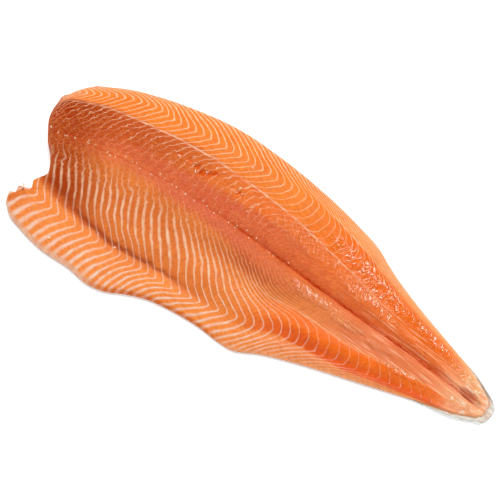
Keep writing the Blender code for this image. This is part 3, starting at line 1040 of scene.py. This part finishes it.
# %% Lines where the stripe number is whole
waver = add(
    tree, "TexNoise", inputs={"Vector": where, "Scale": 1000 / 2.6, "Detail": 3.0},
).outputs["Fac"]
waver = add(
    tree, "Math", {"operation": "MULTIPLY_ADD"}, {0: waver, 1: 0.14, 2: -0.07},
).outputs[0]
fray = add(tree, "Mapping", inputs={"Vector": fibre, "Scale": (1 / 9, 1 / 5, 1.0)}).outputs[0]
fray = add(
    tree, "TexNoise", inputs={"Vector": fray, "Scale": 1.0, "Detail": 3.0, "Distortion": 0.6},
).outputs["Fac"]
fray = add(tree, "Math", {"operation": "MULTIPLY_ADD"}, {0: fray, 1: 2.4, 2: -1.2}).outputs[0]
waver = add(
    tree, "Math", {"operation": "MULTIPLY_ADD"}, {0: fray, 1: read["fray"], 2: waver},
).outputs[0]
course = add(tree, "Math", {"operation": "ADD"}, {0: read["stripe"], 1: waver}).outputs[0]
off_line = add(tree, "Math", {"operation": "PINGPONG"}, {0: course, 1: 0.5}).outputs[0]
core = add(tree, "Math", {"operation": "MULTIPLY"}, {0: read["line_width"], 1: 0.3}).outputs[0]
edge = add(tree, "Math", {"operation": "MULTIPLY"}, {0: read["line_width"], 1: 1.4}).outputs[0]
line = add(
    tree, "MapRange", {"interpolation_type": "SMOOTHSTEP"},
    {"Value": off_line, "From Min": core, "From Max": edge, "To Min": 1.0, "To Max": 0.0},
).outputs[0]
reach = add(tree, "Math", {"operation": "MULTIPLY"}, {0: read["line_width"], 1: 2.2}).outputs[0]
halo = add(
    tree, "MapRange", {"interpolation_type": "SMOOTHSTEP"},
    {"Value": off_line, "From Min": 0.0, "From Max": reach, "To Min": 0.06, "To Max": 0.0},
).outputs[0]
line = add(tree, "Math", {"operation": "MAXIMUM"}, {0: line, 1: halo}).outputs[0]
broken = add(
    tree, "TexNoise", inputs={"Vector": where, "Scale": 1000 / 7, "Detail": 4.0},
).outputs["Fac"]
broken = add(
    tree, "MapRange",
    inputs={"Value": broken, "From Min": 0.3, "From Max": 0.68, "To Min": 0.45, "To Max": 1.1},
).outputs[0]
line = add(
    tree, "Math", {"operation": "MULTIPLY"}, {0: line, 1: read["line_strength"]},
).outputs[0]
line = add(tree, "Math", {"operation": "MAXIMUM"}, {0: line, 1: read["long_line"]}).outputs[0]
line = add(
    tree, "Math", {"operation": "MULTIPLY", "use_clamp": True}, {0: line, 1: broken},
).outputs[0]

# %% Grain of the fibres: short over the front, and in long threads towards the tail
short = add(tree, "Mapping", inputs={"Vector": fibre, "Scale": (1 / 8, 1 / 2.1, 1.0)}).outputs[0]
short = add(
    tree, "TexNoise", inputs={"Vector": short, "Scale": 1.0, "Detail": 3.0, "Distortion": 0.5},
).outputs["Fac"]
long = add(
    tree, "Mapping", inputs={"Vector": lengthwise, "Scale": (1 / 28, 1 / 1.5, 1.0)},
).outputs[0]
long = add(
    tree, "TexNoise", inputs={"Vector": long, "Scale": 1.0, "Detail": 3.0, "Distortion": 0.3},
).outputs["Fac"]
grain = add(tree, "Mix", inputs={0: read["streak"], 2: short, 3: long}).outputs[0]
blotch = add(
    tree, "TexNoise", inputs={"Vector": where, "Scale": 1000 / 24, "Detail": 3.0},
).outputs["Fac"]
tone = add(
    tree, "MapRange",
    inputs={"Value": grain, "From Min": 0.3, "From Max": 0.7, "To Min": 0.83, "To Max": 1.17},
).outputs[0]
tint = add(
    tree, "MapRange",
    inputs={"Value": blotch, "From Min": 0.3, "From Max": 0.7, "To Min": 0.93, "To Max": 1.07},
).outputs[0]
tone = add(tree, "Math", {"operation": "MULTIPLY"}, {0: tone, 1: tint}).outputs[0]
red_tone = add(tree, "Math", {"operation": "MULTIPLY_ADD"}, {0: tone, 1: 0.6, 2: 0.4}).outputs[0]
tone = add(tree, "CombineXYZ", inputs={0: red_tone, 1: tone, 2: tone}).outputs[0]
muscle = add(tree, "VectorMath", {"operation": "MULTIPLY"}, {0: ground, 1: tone}).outputs[0]

# %% Long pale streaks of the tail
# The tail's pale streaks: pale fibres, and painted sheen where the wet ridges shine.
streaks_and_sheen = add(
    tree, "MapRange", {"interpolation_type": "SMOOTHSTEP"},
    {"Value": long, "From Min": 0.5, "From Max": 0.68, "To Min": 0.0, "To Max": 0.55},
).outputs[0]
streaks_and_sheen = add(
    tree, "Math", {"operation": "MULTIPLY"}, {0: streaks_and_sheen, 1: read["streak"]},
).outputs[0]
muscle = add(
    tree, "Mix", {"data_type": "RGBA"}, {0: streaks_and_sheen, 6: muscle, 7: rgba(STREAK_PALE_AND_SHEEN)},
).outputs[2]

# %% Feathers: fine branching sheets beside the seam
warped = add(
    tree, "Mapping", inputs={"Vector": fibre, "Scale": (1 / 7, 1 / 3.2, 1.0)},
).outputs[0]
veins = add(
    tree, "TexNoise", inputs={"Vector": warped, "Scale": 1.0, "Detail": 3.0, "Distortion": 1.6},
).outputs["Fac"]
veins = add(tree, "Math", {"operation": "SUBTRACT"}, {0: veins, 1: 0.5}).outputs[0]
veins = add(tree, "Math", {"operation": "ABSOLUTE"}, {0: veins}).outputs[0]
veins = add(
    tree, "MapRange", {"interpolation_type": "SMOOTHSTEP"},
    {"Value": veins, "From Min": 0.0, "From Max": 0.045, "To Min": 0.55, "To Max": 0.0},
).outputs[0]
feather = add(tree, "Math", {"operation": "MULTIPLY"}, {0: veins, 1: read["feather"]}).outputs[0]
muscle = add(
    tree, "Mix", {"data_type": "RGBA"}, {0: feather, 6: muscle, 7: rgba(FEATHER)},
).outputs[2]
colour = add(tree, "Mix", {"data_type": "RGBA"}, {0: line, 6: muscle, 7: pale}).outputs[2]

# %% The crack of the bone row
# The crack is painted dark red: stained flesh, and painted shade in the crack.
bend = add(
    tree, "TexNoise", inputs={"Vector": where, "Scale": 1000 / 5, "Detail": 3.0},
).outputs["Fac"]
bend = add(tree, "Math", {"operation": "MULTIPLY_ADD"}, {0: bend, 1: 6.0, 2: -3.0}).outputs[0]
from_seam = add(tree, "SeparateXYZ", inputs={0: lengthwise}).outputs[1]
from_seam = add(tree, "Math", {"operation": "ADD"}, {0: from_seam, 1: bend}).outputs[0]
from_seam = add(tree, "Math", {"operation": "ABSOLUTE"}, {0: from_seam}).outputs[0]
crack = add(
    tree, "MapRange", {"interpolation_type": "SMOOTHSTEP"},
    {"Value": from_seam, "From Min": 0.2, "From Max": 1.3, "To Min": 1.0, "To Max": 0.0},
).outputs[0]
crack = add(tree, "Math", {"operation": "MULTIPLY"}, {0: crack, 1: read["crack"]}).outputs[0]
colour = add(
    tree, "Mix", {"data_type": "RGBA"}, {0: crack, 6: colour, 7: rgba(SLIT_STAIN_AND_SHADE)},
).outputs[2]

# %% Wet surface: beads of juice three by seven millimetres, with a film of it on their tops
ridged = add(
    tree, "Mapping", inputs={"Vector": fibre, "Scale": (1 / 2.9, 1 / 7.5, 1.0)},
).outputs[0]
beads = add(
    tree, "TexNoise", inputs={"Vector": ridged, "Scale": 1.0, "Detail": 2.4, "Distortion": 0.9},
).outputs["Fac"]
fine = add(
    tree, "TexNoise", inputs={"Vector": where, "Scale": 1000 / 1.2, "Detail": 2.0},
).outputs["Fac"]
swells = add(
    tree, "Math", {"operation": "MULTIPLY_ADD", "use_clamp": True},
    {0: read["wet"], 1: 1.7, 2: 0.15},
).outputs[0]
rise = add(tree, "Math", {"operation": "MULTIPLY"}, {0: beads, 1: swells}).outputs[0]
rise = add(tree, "Math", {"operation": "MULTIPLY"}, {0: rise, 1: 1.9}).outputs[0]
for source, height in ((grain, 0.11), (fine, 0.02), (line, 0.1), (feather, 0.12)):
    rise = add(
        tree, "Math", {"operation": "MULTIPLY_ADD"}, {0: source, 1: height, 2: rise},
    ).outputs[0]
normal = add(
    tree, "Bump", inputs={"Height": rise, "Strength": 1.0, "Distance": 0.001},
).outputs[0]
rough = add(
    tree, "MapRange",
    inputs={"Value": blotch, "From Min": 0.3, "From Max": 0.7, "To Min": 0.34, "To Max": 0.5},
).outputs[0]
film = add(
    tree, "MapRange", {"interpolation_type": "SMOOTHSTEP"},
    {"Value": beads, "From Min": 0.44, "From Max": 0.54, "To Min": 0.03, "To Max": 1.0},
).outputs[0]
# Twice by the wetness, so that the film fades out before the beads do
for _ in range(2):
    film = add(tree, "Math", {"operation": "MULTIPLY"}, {0: film, 1: read["wet"]}).outputs[0]
film = add(tree, "Math", {"operation": "MAXIMUM"}, {0: film, 1: 0.012}).outputs[0]
# The coat is the film. Its tint is that of the oil in the juice, on what shows through it.
surface = add(tree, "BsdfPrincipled", inputs={
    "Base Color": colour, "Roughness": rough, "IOR": 1.36, "Specular IOR Level": 0.05,
    "Subsurface Weight": 0.1, "Subsurface Radius": (1.0, 0.35, 0.12), "Subsurface Scale": 0.003,
    "Coat Weight": film, "Coat Roughness": 0.1, "Coat IOR": 1.85,
    "Coat Tint": (1.0, 0.92, 0.5, 1.0), "Normal": normal, "Coat Normal": normal,
})
add(tree, "OutputMaterial", inputs={"Surface": surface.outputs[0]})

# %% Give the flesh its colours, lines and fibre directions
PALE_LINE = "#efc9b2"
PALE_RIB = "#f3c4a2"
PALE_BACK = "#fccda4"
px, py = flesh_points[:, 0], flesh_points[:, 1]
_, place_across, place_half, place_number, place_wall = places.T
loin = curve(LOIN_X, LOIN_ACROSS, px)
kink = curve(KINK_X, KINK_ACROSS, px)
seam_low = (0.25 + 0.15 * step_up(-100 - px, 100)) * kink
seam_side = between(place_across, seam_low, loin - 0.08, 0.12)
ragged_back = 0.3 + 0.16 * step_up(place_across + 0.06, 0.1)
pale = np.zeros((len(px), 3)) + linear(PALE_LINE)
pale = paint(pale, PALE_RIB, step_up(place_across - kink - 0.03, 0.2))
pale = paint(pale, PALE_BACK, step_up(place_across - loin, 0.1))
from_seam = (place_across - GROOVE_ACROSS) * place_half
corners = np.concatenate([np.ravel(face) for face in flesh_faces])
firsts = np.array([face[0] for face in flesh_faces])
lengths = np.array([len(face) for face in flesh_faces])
face_angle = np.repeat(fibre_angle(px[firsts], place_across[firsts]), lengths)
values = {
    "ground": flesh_colour(px, py, place_across, place_half, place_wall),
    "pale": pale,
    "stripe": place_number,
    "line_strength": line_strength(px, place_across, place_wall),
    "line_width": line_width(px, place_across),
    "long_line": long_lines(px, place_across, place_half) * (1 - np.clip(place_wall, 0, 1)),
    "feather": 0.9 * seam_side * (1 - 0.6 * step_up(px - 60, 120)),
    "fray": ragged_back * seam_side * (1 - 0.5 * step_up(px - 60, 120)),
    "wet": wet_share(px, place_across),
    "streak": step_up(px - 60, 110) * between(place_across, -0.45, 0.42, 0.1),
    "crack": curve((-280, -240, -60, 0, 150, 240, 262), (0, 0.45, 0.5, 0.95, 0.9, 0.5, 0), px)
    * curve((-0.2, 0.3), (0.5, 1), noise(px, 0 * px, 9, 2, 31)),
    "fibre": turned(px[corners], py[corners], face_angle),
    "lengthwise": np.stack([px, from_seam], -1),
}
fillet = new_piece("flesh", flesh_points + shift, flesh_faces, values, flesh)
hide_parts("fillet")

# %% [markdown]
# ## Salmon skin
#
# The outer side is silver on the belly and dark blue-grey on the back, in scales three to
# four millimetres across. Each is a little dome with its own sheen. A few small black
# spots lie above the lateral line. The inner side is a smooth, dull greyish white.

# %% The skin material
skin_material, tree = new_material("salmon_skin_scaled")
where = add(tree, "UVMap", {"uv_map": "millimetres"}).outputs[0]
ground = add(tree, "Attribute", {"attribute_name": "ground"}).outputs["Color"]
inside = add(tree, "Attribute", {"attribute_name": "inside"}).outputs["Fac"]
stretched = add(
    tree, "Mapping", inputs={"Vector": where, "Scale": (1 / 4.2, 1 / 3.2, 1.0)},
).outputs[0]
scale = add(tree, "TexVoronoi", inputs={"Vector": stretched, "Scale": 1.0, "Randomness": 0.35})
rim_line = add(
    tree, "TexVoronoi", {"feature": "DISTANCE_TO_EDGE"},
    {"Vector": stretched, "Scale": 1.0, "Randomness": 0.35},
).outputs["Distance"]
gap = add(
    tree, "MapRange",
    inputs={"Value": rim_line, "From Min": 0.0, "From Max": 0.09, "To Min": 0.72, "To Max": 1.0},
).outputs[0]
each = add(tree, "SeparateXYZ", inputs={0: scale.outputs["Color"]}).outputs[0]
each = add(
    tree, "MapRange",
    inputs={"Value": each, "From Min": 0.0, "From Max": 1.0, "To Min": 0.86, "To Max": 1.1},
).outputs[0]
dull = add(
    tree, "TexNoise", inputs={"Vector": where, "Scale": 1 / 5, "Detail": 3.0},
).outputs["Fac"]
dull = add(
    tree, "MapRange",
    inputs={"Value": dull, "From Min": 0.25, "From Max": 0.75, "To Min": 0.82, "To Max": 1.06},
).outputs[0]
tone = add(tree, "Math", {"operation": "MULTIPLY"}, {0: gap, 1: each}).outputs[0]
tone = add(tree, "Mix", inputs={0: inside, 2: tone, 3: dull}).outputs[0]
colour = add(tree, "VectorMath", {"operation": "SCALE"}, {0: ground, "Scale": tone}).outputs[0]
rise = add(tree, "Mix", inputs={0: inside, 2: rim_line, 3: dull}).outputs[0]

# %% Black spots, two to five millimetres wide, in half of the cells of 16 millimetres
SPOT_BLACK = "#16191a"
spotted = add(tree, "Attribute", {"attribute_name": "spotted"}).outputs["Fac"]
frayed = add(
    tree, "TexNoise", inputs={"Vector": where, "Scale": 1 / 3, "Detail": 2.0},
).outputs["Color"]
frayed = add(
    tree, "VectorMath", {"operation": "MULTIPLY_ADD"}, {0: frayed, 1: (3, 3, 0), 2: where},
).outputs[0]
cell = add(tree, "TexVoronoi", inputs={"Vector": frayed, "Scale": 1 / 16, "Randomness": 1.0})
chosen, wide, _ = add(tree, "SeparateXYZ", inputs={0: cell.outputs["Color"]}).outputs
chosen = add(tree, "Math", {"operation": "LESS_THAN"}, {0: chosen, 1: 0.5}).outputs[0]
chosen = add(tree, "Math", {"operation": "MULTIPLY"}, {0: chosen, 1: spotted}).outputs[0]
wide = add(tree, "Math", {"operation": "MULTIPLY_ADD"}, {0: wide, 1: 0.09, 2: 0.07}).outputs[0]
spot = add(
    tree, "Math", {"operation": "SUBTRACT"}, {0: wide, 1: cell.outputs["Distance"]},
).outputs[0]
spot = add(
    tree, "MapRange", {"interpolation_type": "SMOOTHSTEP"},
    {"Value": spot, "From Min": -0.02, "From Max": 0.03, "To Min": 0.0, "To Max": 0.85},
).outputs[0]
spot = add(tree, "Math", {"operation": "MULTIPLY"}, {0: spot, 1: chosen}).outputs[0]
colour = add(
    tree, "Mix", {"data_type": "RGBA"}, {0: spot, 6: colour, 7: rgba(SPOT_BLACK)},
).outputs[2]

# %% Its surface
normal = add(
    tree, "Bump", inputs={"Height": rise, "Strength": 0.6, "Distance": 0.0006},
).outputs[0]
rough = add(tree, "Mix", inputs={0: inside, 2: 0.3, 3: 0.45}).outputs[0]
shine = add(tree, "Mix", inputs={0: inside, 2: 0.2, 3: 0.0}).outputs[0]
surface = add(tree, "BsdfPrincipled", inputs={
    "Base Color": colour, "Roughness": rough, "Metallic": shine, "IOR": 1.4,
    "Subsurface Weight": 0.08, "Subsurface Radius": (1.0, 0.7, 0.5), "Subsurface Scale": 0.0015,
    "Coat Weight": 0.3, "Coat Roughness": 0.2, "Normal": normal,
})
add(tree, "OutputMaterial", inputs={"Surface": surface.outputs[0]})

# %% Colour and place the skin
SILVER = "#b9bdbb"
BACK_SLATE = "#3d4a50"
BELLY_WHITE = "#dcdcd6"
INNER_WHITE = "#d9d3c6"
INNER_STAIN = "#cf9a78"
EDGE_TAN = "#b8602c"


def edge_stain(x, across):
    """Where the skin's cut edge is stained by the flesh: along the sides, up to the tail."""
    start = np.where(across > 0, 0.98, 0.955)
    return step_up(np.abs(across) - start, 0.012) * step_up(225 - x, 40)


def skin_colour(x, y, across):
    """White belly, silver flank with the dark lateral line, slate back, and stained edge."""
    colour = np.zeros(x.shape + (3,)) + linear(SILVER)
    colour = paint(colour, BELLY_WHITE, step_up(-across - 0.2, 0.5))
    slate = step_up(across - 0.12 + 0.1 * noise(x, y, 25, 2, 14), 0.55)
    colour = paint(colour, BACK_SLATE, slate)
    colour = paint(colour, BACK_SLATE, 0.45 * bump(across - 0.02, 0.012))
    return paint(colour, EDGE_TAN, edge_stain(x, across))


# Plan coordinates for the scales are counted from this far outside the fish
CORNER = (400, 400)
skin_across = skin_grid[1].ravel()
stain = step_up(noise(inner[..., 0], inner[..., 1], 6, 3, 16) + 0.1, 0.5).ravel()
inside = paint(np.zeros((skin_count, 3)) + linear(INNER_WHITE), INNER_STAIN, 0.45 * stain)
inside = paint(inside, EDGE_TAN, edge_stain(inner[..., 0].ravel(), skin_across))
outside = skin_colour(outer[..., 0].ravel(), outer[..., 1].ravel(), skin_across)
values = {
    "ground": np.concatenate([outside, inside]),
    "inside": np.repeat((0.0, 1.0), skin_count),
    "spotted": np.concatenate([between(skin_across, 0.12, 0.85, 0.08), np.zeros(skin_count)]),
    "millimetres": skin_points[:, :2] + CORNER,
}
skin = new_piece("skin", skin_points + shift, skin_faces, values, skin_material)

# %% [markdown]
# ## Cut bone ends and loose scraps
#
# The knife leaves the ends of the pin bones standing a little out of the seam, about every
# 8 mm over the front half of the side, as wet ivory specks. A few scraps of pale
# membrane and fat lie where they were torn: at the ragged head edge, on the flap and
# beside the torn spots. Both are made by bending one small grid: closed to a pebble for a
# bone end, and as a thin lens with a curl for a scrap.

# %% Bits on the surface
BITS = 9
RING = 14


def surface_height(x, across):
    """Height of the flesh's top in the middle of the side, with its relief."""
    seam, half_width = sides(x, across)
    y = seam + across * half_width
    number = stripe_number(x, y, across)
    return y, muscle_height(x, across) + relief(x, y, across, half_width, number)


def pebbles(x, across, length, width, height, turn, curl, seed):
    """Points and faces of small closed shapes, one for each value in the arrays: a ball
    squeezed to length, width and height, roughened by noise, bent up towards its ends by
    curl, turned by its angle, and set on the flesh."""
    y, z = surface_height(x, across)
    x, y, z, length, width, height, turn, curl = [
        value[:, None, None] for value in (x, y, z, length, width, height, turn, curl)
    ]
    order = np.arange(len(x))[:, None, None]
    angles = np.linspace(0, np.pi, BITS), np.linspace(0, 2 * np.pi, RING + 1)[:-1]
    polar, round_ = np.meshgrid(*angles, indexing="ij")
    rough = 1 + 0.25 * noise(polar[None] * 9 + 40 * order, round_[None] * 3, 2, 2, seed)
    a = np.sin(polar) * np.cos(round_) * rough
    b = np.sin(polar) * np.sin(round_) * rough
    c = np.cos(polar) * np.ones_like(rough)
    along_x = a * length * np.cos(turn) - b * width * np.sin(turn)
    along_y = a * length * np.sin(turn) + b * width * np.cos(turn)
    rise = c * height + curl * a * a
    points = np.stack([along_x + x, along_y + y, rise + z], -1)
    index = np.arange(BITS * RING).reshape(BITS, RING)
    ring = np.roll(index, -1, axis=1)
    one = np.stack([index[:-1], index[1:], ring[1:], ring[:-1]], -1).reshape(-1, 4)
    faces = one[None] + order * BITS * RING
    return points.reshape(-1, 3), faces.reshape(-1, 4)


chance = np.random.default_rng(11)
BONES = 38
bone_x = np.linspace(-256, 40, BONES) + chance.uniform(-5, 5, BONES)
bone_points, bone_faces = pebbles(
    x=bone_x,
    across=0.026 + chance.uniform(-0.03, 0.03, BONES),
    length=chance.uniform(0.8, 1.5, BONES) - 0.002 * bone_x,
    width=chance.uniform(0.4, 0.8, BONES),
    height=chance.uniform(0.4, 0.7, BONES),
    turn=chance.uniform(-1.4, 0.2, BONES),
    curl=np.zeros(BONES),
    seed=40,
)
SCRAPS = np.array([
    # x, across, half length, half width, half height, turn, curl
    (-237.5, -0.72, 2.6, 1.4, 0.35, 2.0, 1.6),
    (-174.9, -0.89, 1.7, 0.8, 0.35, 0.9, 0.4),
    (-124.0, 0.31, 1.5, 0.7, 0.3, 0.3, 0.5),
    (-99.0, 0.25, 1.9, 0.6, 0.3, 2.2, 0.6),
    (-89.0, 0.31, 1.3, 0.8, 0.3, 0.2, 0.4),
    (-51.0, 0.30, 1.4, 0.6, 0.3, 1.1, 0.4),
    (-53.5, 0.60, 1.1, 0.7, 0.3, 0.5, 0.2),
    (-117.0, -0.63, 1.6, 0.7, 0.3, 1.4, 0.3),
])
scrap_points, scrap_faces = pebbles(*SCRAPS.T, seed=41)
print(BONES, "bone ends and", len(SCRAPS), "scraps")

# %% A colour that drifts between two
def cloudy(tree, size, detail, low, high):
    """Colour of clouds `size` millimetres across. `low` and `high` are each a noise value and
    the hex colour that is reached there."""
    where = add(tree, "TexCoord").outputs["Object"]
    cloud = add(
        tree, "TexNoise", inputs={"Vector": where, "Scale": 1000 / size, "Detail": detail},
    ).outputs["Fac"]
    tone = add(tree, "ValToRGB", inputs={"Fac": cloud})
    for stop, (place, code) in zip(tone.color_ramp.elements, (low, high)):
        stop.position = place
        stop.color = rgba(code)
    return tone.outputs[0]


# %% Their materials: wet bone is smooth and glossy, torn membrane softer
ivory, tree = new_material("wet_ivory_bone_end")
tone = cloudy(tree, 1.5, 2.0, (0.3, "#dd9a68"), (0.6, "#f3d6b4"))
surface = add(tree, "BsdfPrincipled", inputs={
    "Base Color": tone, "Roughness": 0.35, "IOR": 1.5, "Coat Weight": 0.5, "Coat Roughness": 0.1,
})
add(tree, "OutputMaterial", inputs={"Surface": surface.outputs[0]})
membrane, tree = new_material("torn_pale_membrane")
tone = cloudy(tree, 2, 3.0, (0.35, "#ecc4a2"), (0.6, "#f6ead9"))
surface = add(tree, "BsdfPrincipled", inputs={
    "Base Color": tone, "Roughness": 0.4, "IOR": 1.4, "Coat Weight": 0.4, "Coat Roughness": 0.12,
    "Subsurface Weight": 0.1, "Subsurface Radius": (1.0, 0.6, 0.4), "Subsurface Scale": 0.001,
})
add(tree, "OutputMaterial", inputs={"Surface": surface.outputs[0]})
for name, points, faces, material in (
    ("pin_bone_ends", bone_points, bone_faces, ivory),
    ("membrane_scraps", scrap_points, scrap_faces, membrane),
):
    bit = new_piece(name, points + shift, [*faces], {}, material)

# %% [markdown]
# ## Floor, light and camera
#
# The fillet lies on a plain white floor that glows a little, as a light table does, so
# that shadows stay faint. One broad lamp stands high behind it, so that the wet humps
# glint, a wider and weaker one fills in from the front, and the surround is white at the
# horizon and dim above, so that little of it is mirrored in the flesh.

# %% Floor
FLOOR_REACH = 40.0
FLOOR_DROP = 0.2 * MM
floor_material, tree = new_material("matte_white_floor")
tone = cloudy(tree, 500, 2.0, (0.0, "#f9f9f8"), (1.0, "#fdfdfc"))
surface = add(tree, "BsdfPrincipled", inputs={
    "Base Color": tone, "Roughness": 0.9,
    "Emission Color": rgba("#ffffff"), "Emission Strength": 0.28,
})
add(tree, "OutputMaterial", inputs={"Surface": surface.outputs[0]})
floor_mesh = bpy.data.meshes.new("floor")
signs = ((-1, -1), (1, -1), (1, 1), (-1, 1))
floor_corners = [(FLOOR_REACH * i, FLOOR_REACH * j, 0) for i, j in signs]
floor_mesh.from_pydata(floor_corners, [], [(0, 1, 2, 3)])
floor_mesh.materials.append(floor_material)
floor = bpy.data.objects.new("floor", floor_mesh)
floor.location.z = -FLOOR_DROP
bpy.context.scene.collection.objects.link(floor)

# %% Light
world = bpy.data.worlds.new("white_surround")
world.use_nodes = True
tree = world.node_tree
towards = add(tree, "TexCoord").outputs["Generated"]
up = add(tree, "SeparateXYZ", inputs={0: towards}).outputs[2]
bright = add(
    tree, "MapRange", {"interpolation_type": "SMOOTHSTEP"},
    {"Value": up, "From Min": 0.0, "From Max": 0.4, "To Min": 1.0, "To Max": 0.1},
).outputs[0]
tree.nodes["Background"].inputs["Color"].default_value = rgba("#ffffff")
tree.links.new(bright, tree.nodes["Background"].inputs["Strength"])
bpy.context.scene.world = world


def lamp(name, direction, softness, strength):
    """A lamp so far off that it lights the whole floor evenly, from a direction, seen
    `softness` degrees wide, with its strength in watts per square metre."""
    data = bpy.data.lights.new(name, "SUN")
    data.angle = np.radians(softness)
    data.energy = strength
    made = bpy.data.objects.new(name, data)
    towards = Vector(direction).normalized()
    made.location = towards * 3
    made.rotation_euler = towards.to_track_quat("Z", "Y").to_euler()
    bpy.context.scene.collection.objects.link(made)


lamp("key", (-0.2, 0.5, 0.84), 34, 2.8)
lamp("fill", (0.25, -0.75, 0.62), 40, 1.15)

# %% Camera
AZIMUTH = np.radians(38)
ELEVATION = np.radians(60)
AIM = Vector((-0.010, 0.014, 0))
AWAY = 1.4
LENS = 99.6
flat = Vector((np.cos(AZIMUTH), np.sin(AZIMUTH), 0))
back = Vector((
    np.sin(AZIMUTH) * np.cos(ELEVATION),
    -np.cos(AZIMUTH) * np.cos(ELEVATION),
    np.sin(ELEVATION),
))
data = bpy.data.cameras.new("camera")
data.lens = LENS
data.sensor_width = 36
data.sensor_fit = "HORIZONTAL"
camera = bpy.data.objects.new("camera", data)
turn = Matrix((flat, back.cross(flat), back)).transposed().to_4x4()
camera.matrix_world = Matrix.Translation(AIM + back * AWAY) @ turn
bpy.context.scene.collection.objects.link(camera)
bpy.context.scene.camera = camera
bpy.context.scene.view_settings.view_transform = "Standard"
print("camera stands at", [round(value, 3) for value in camera.location])
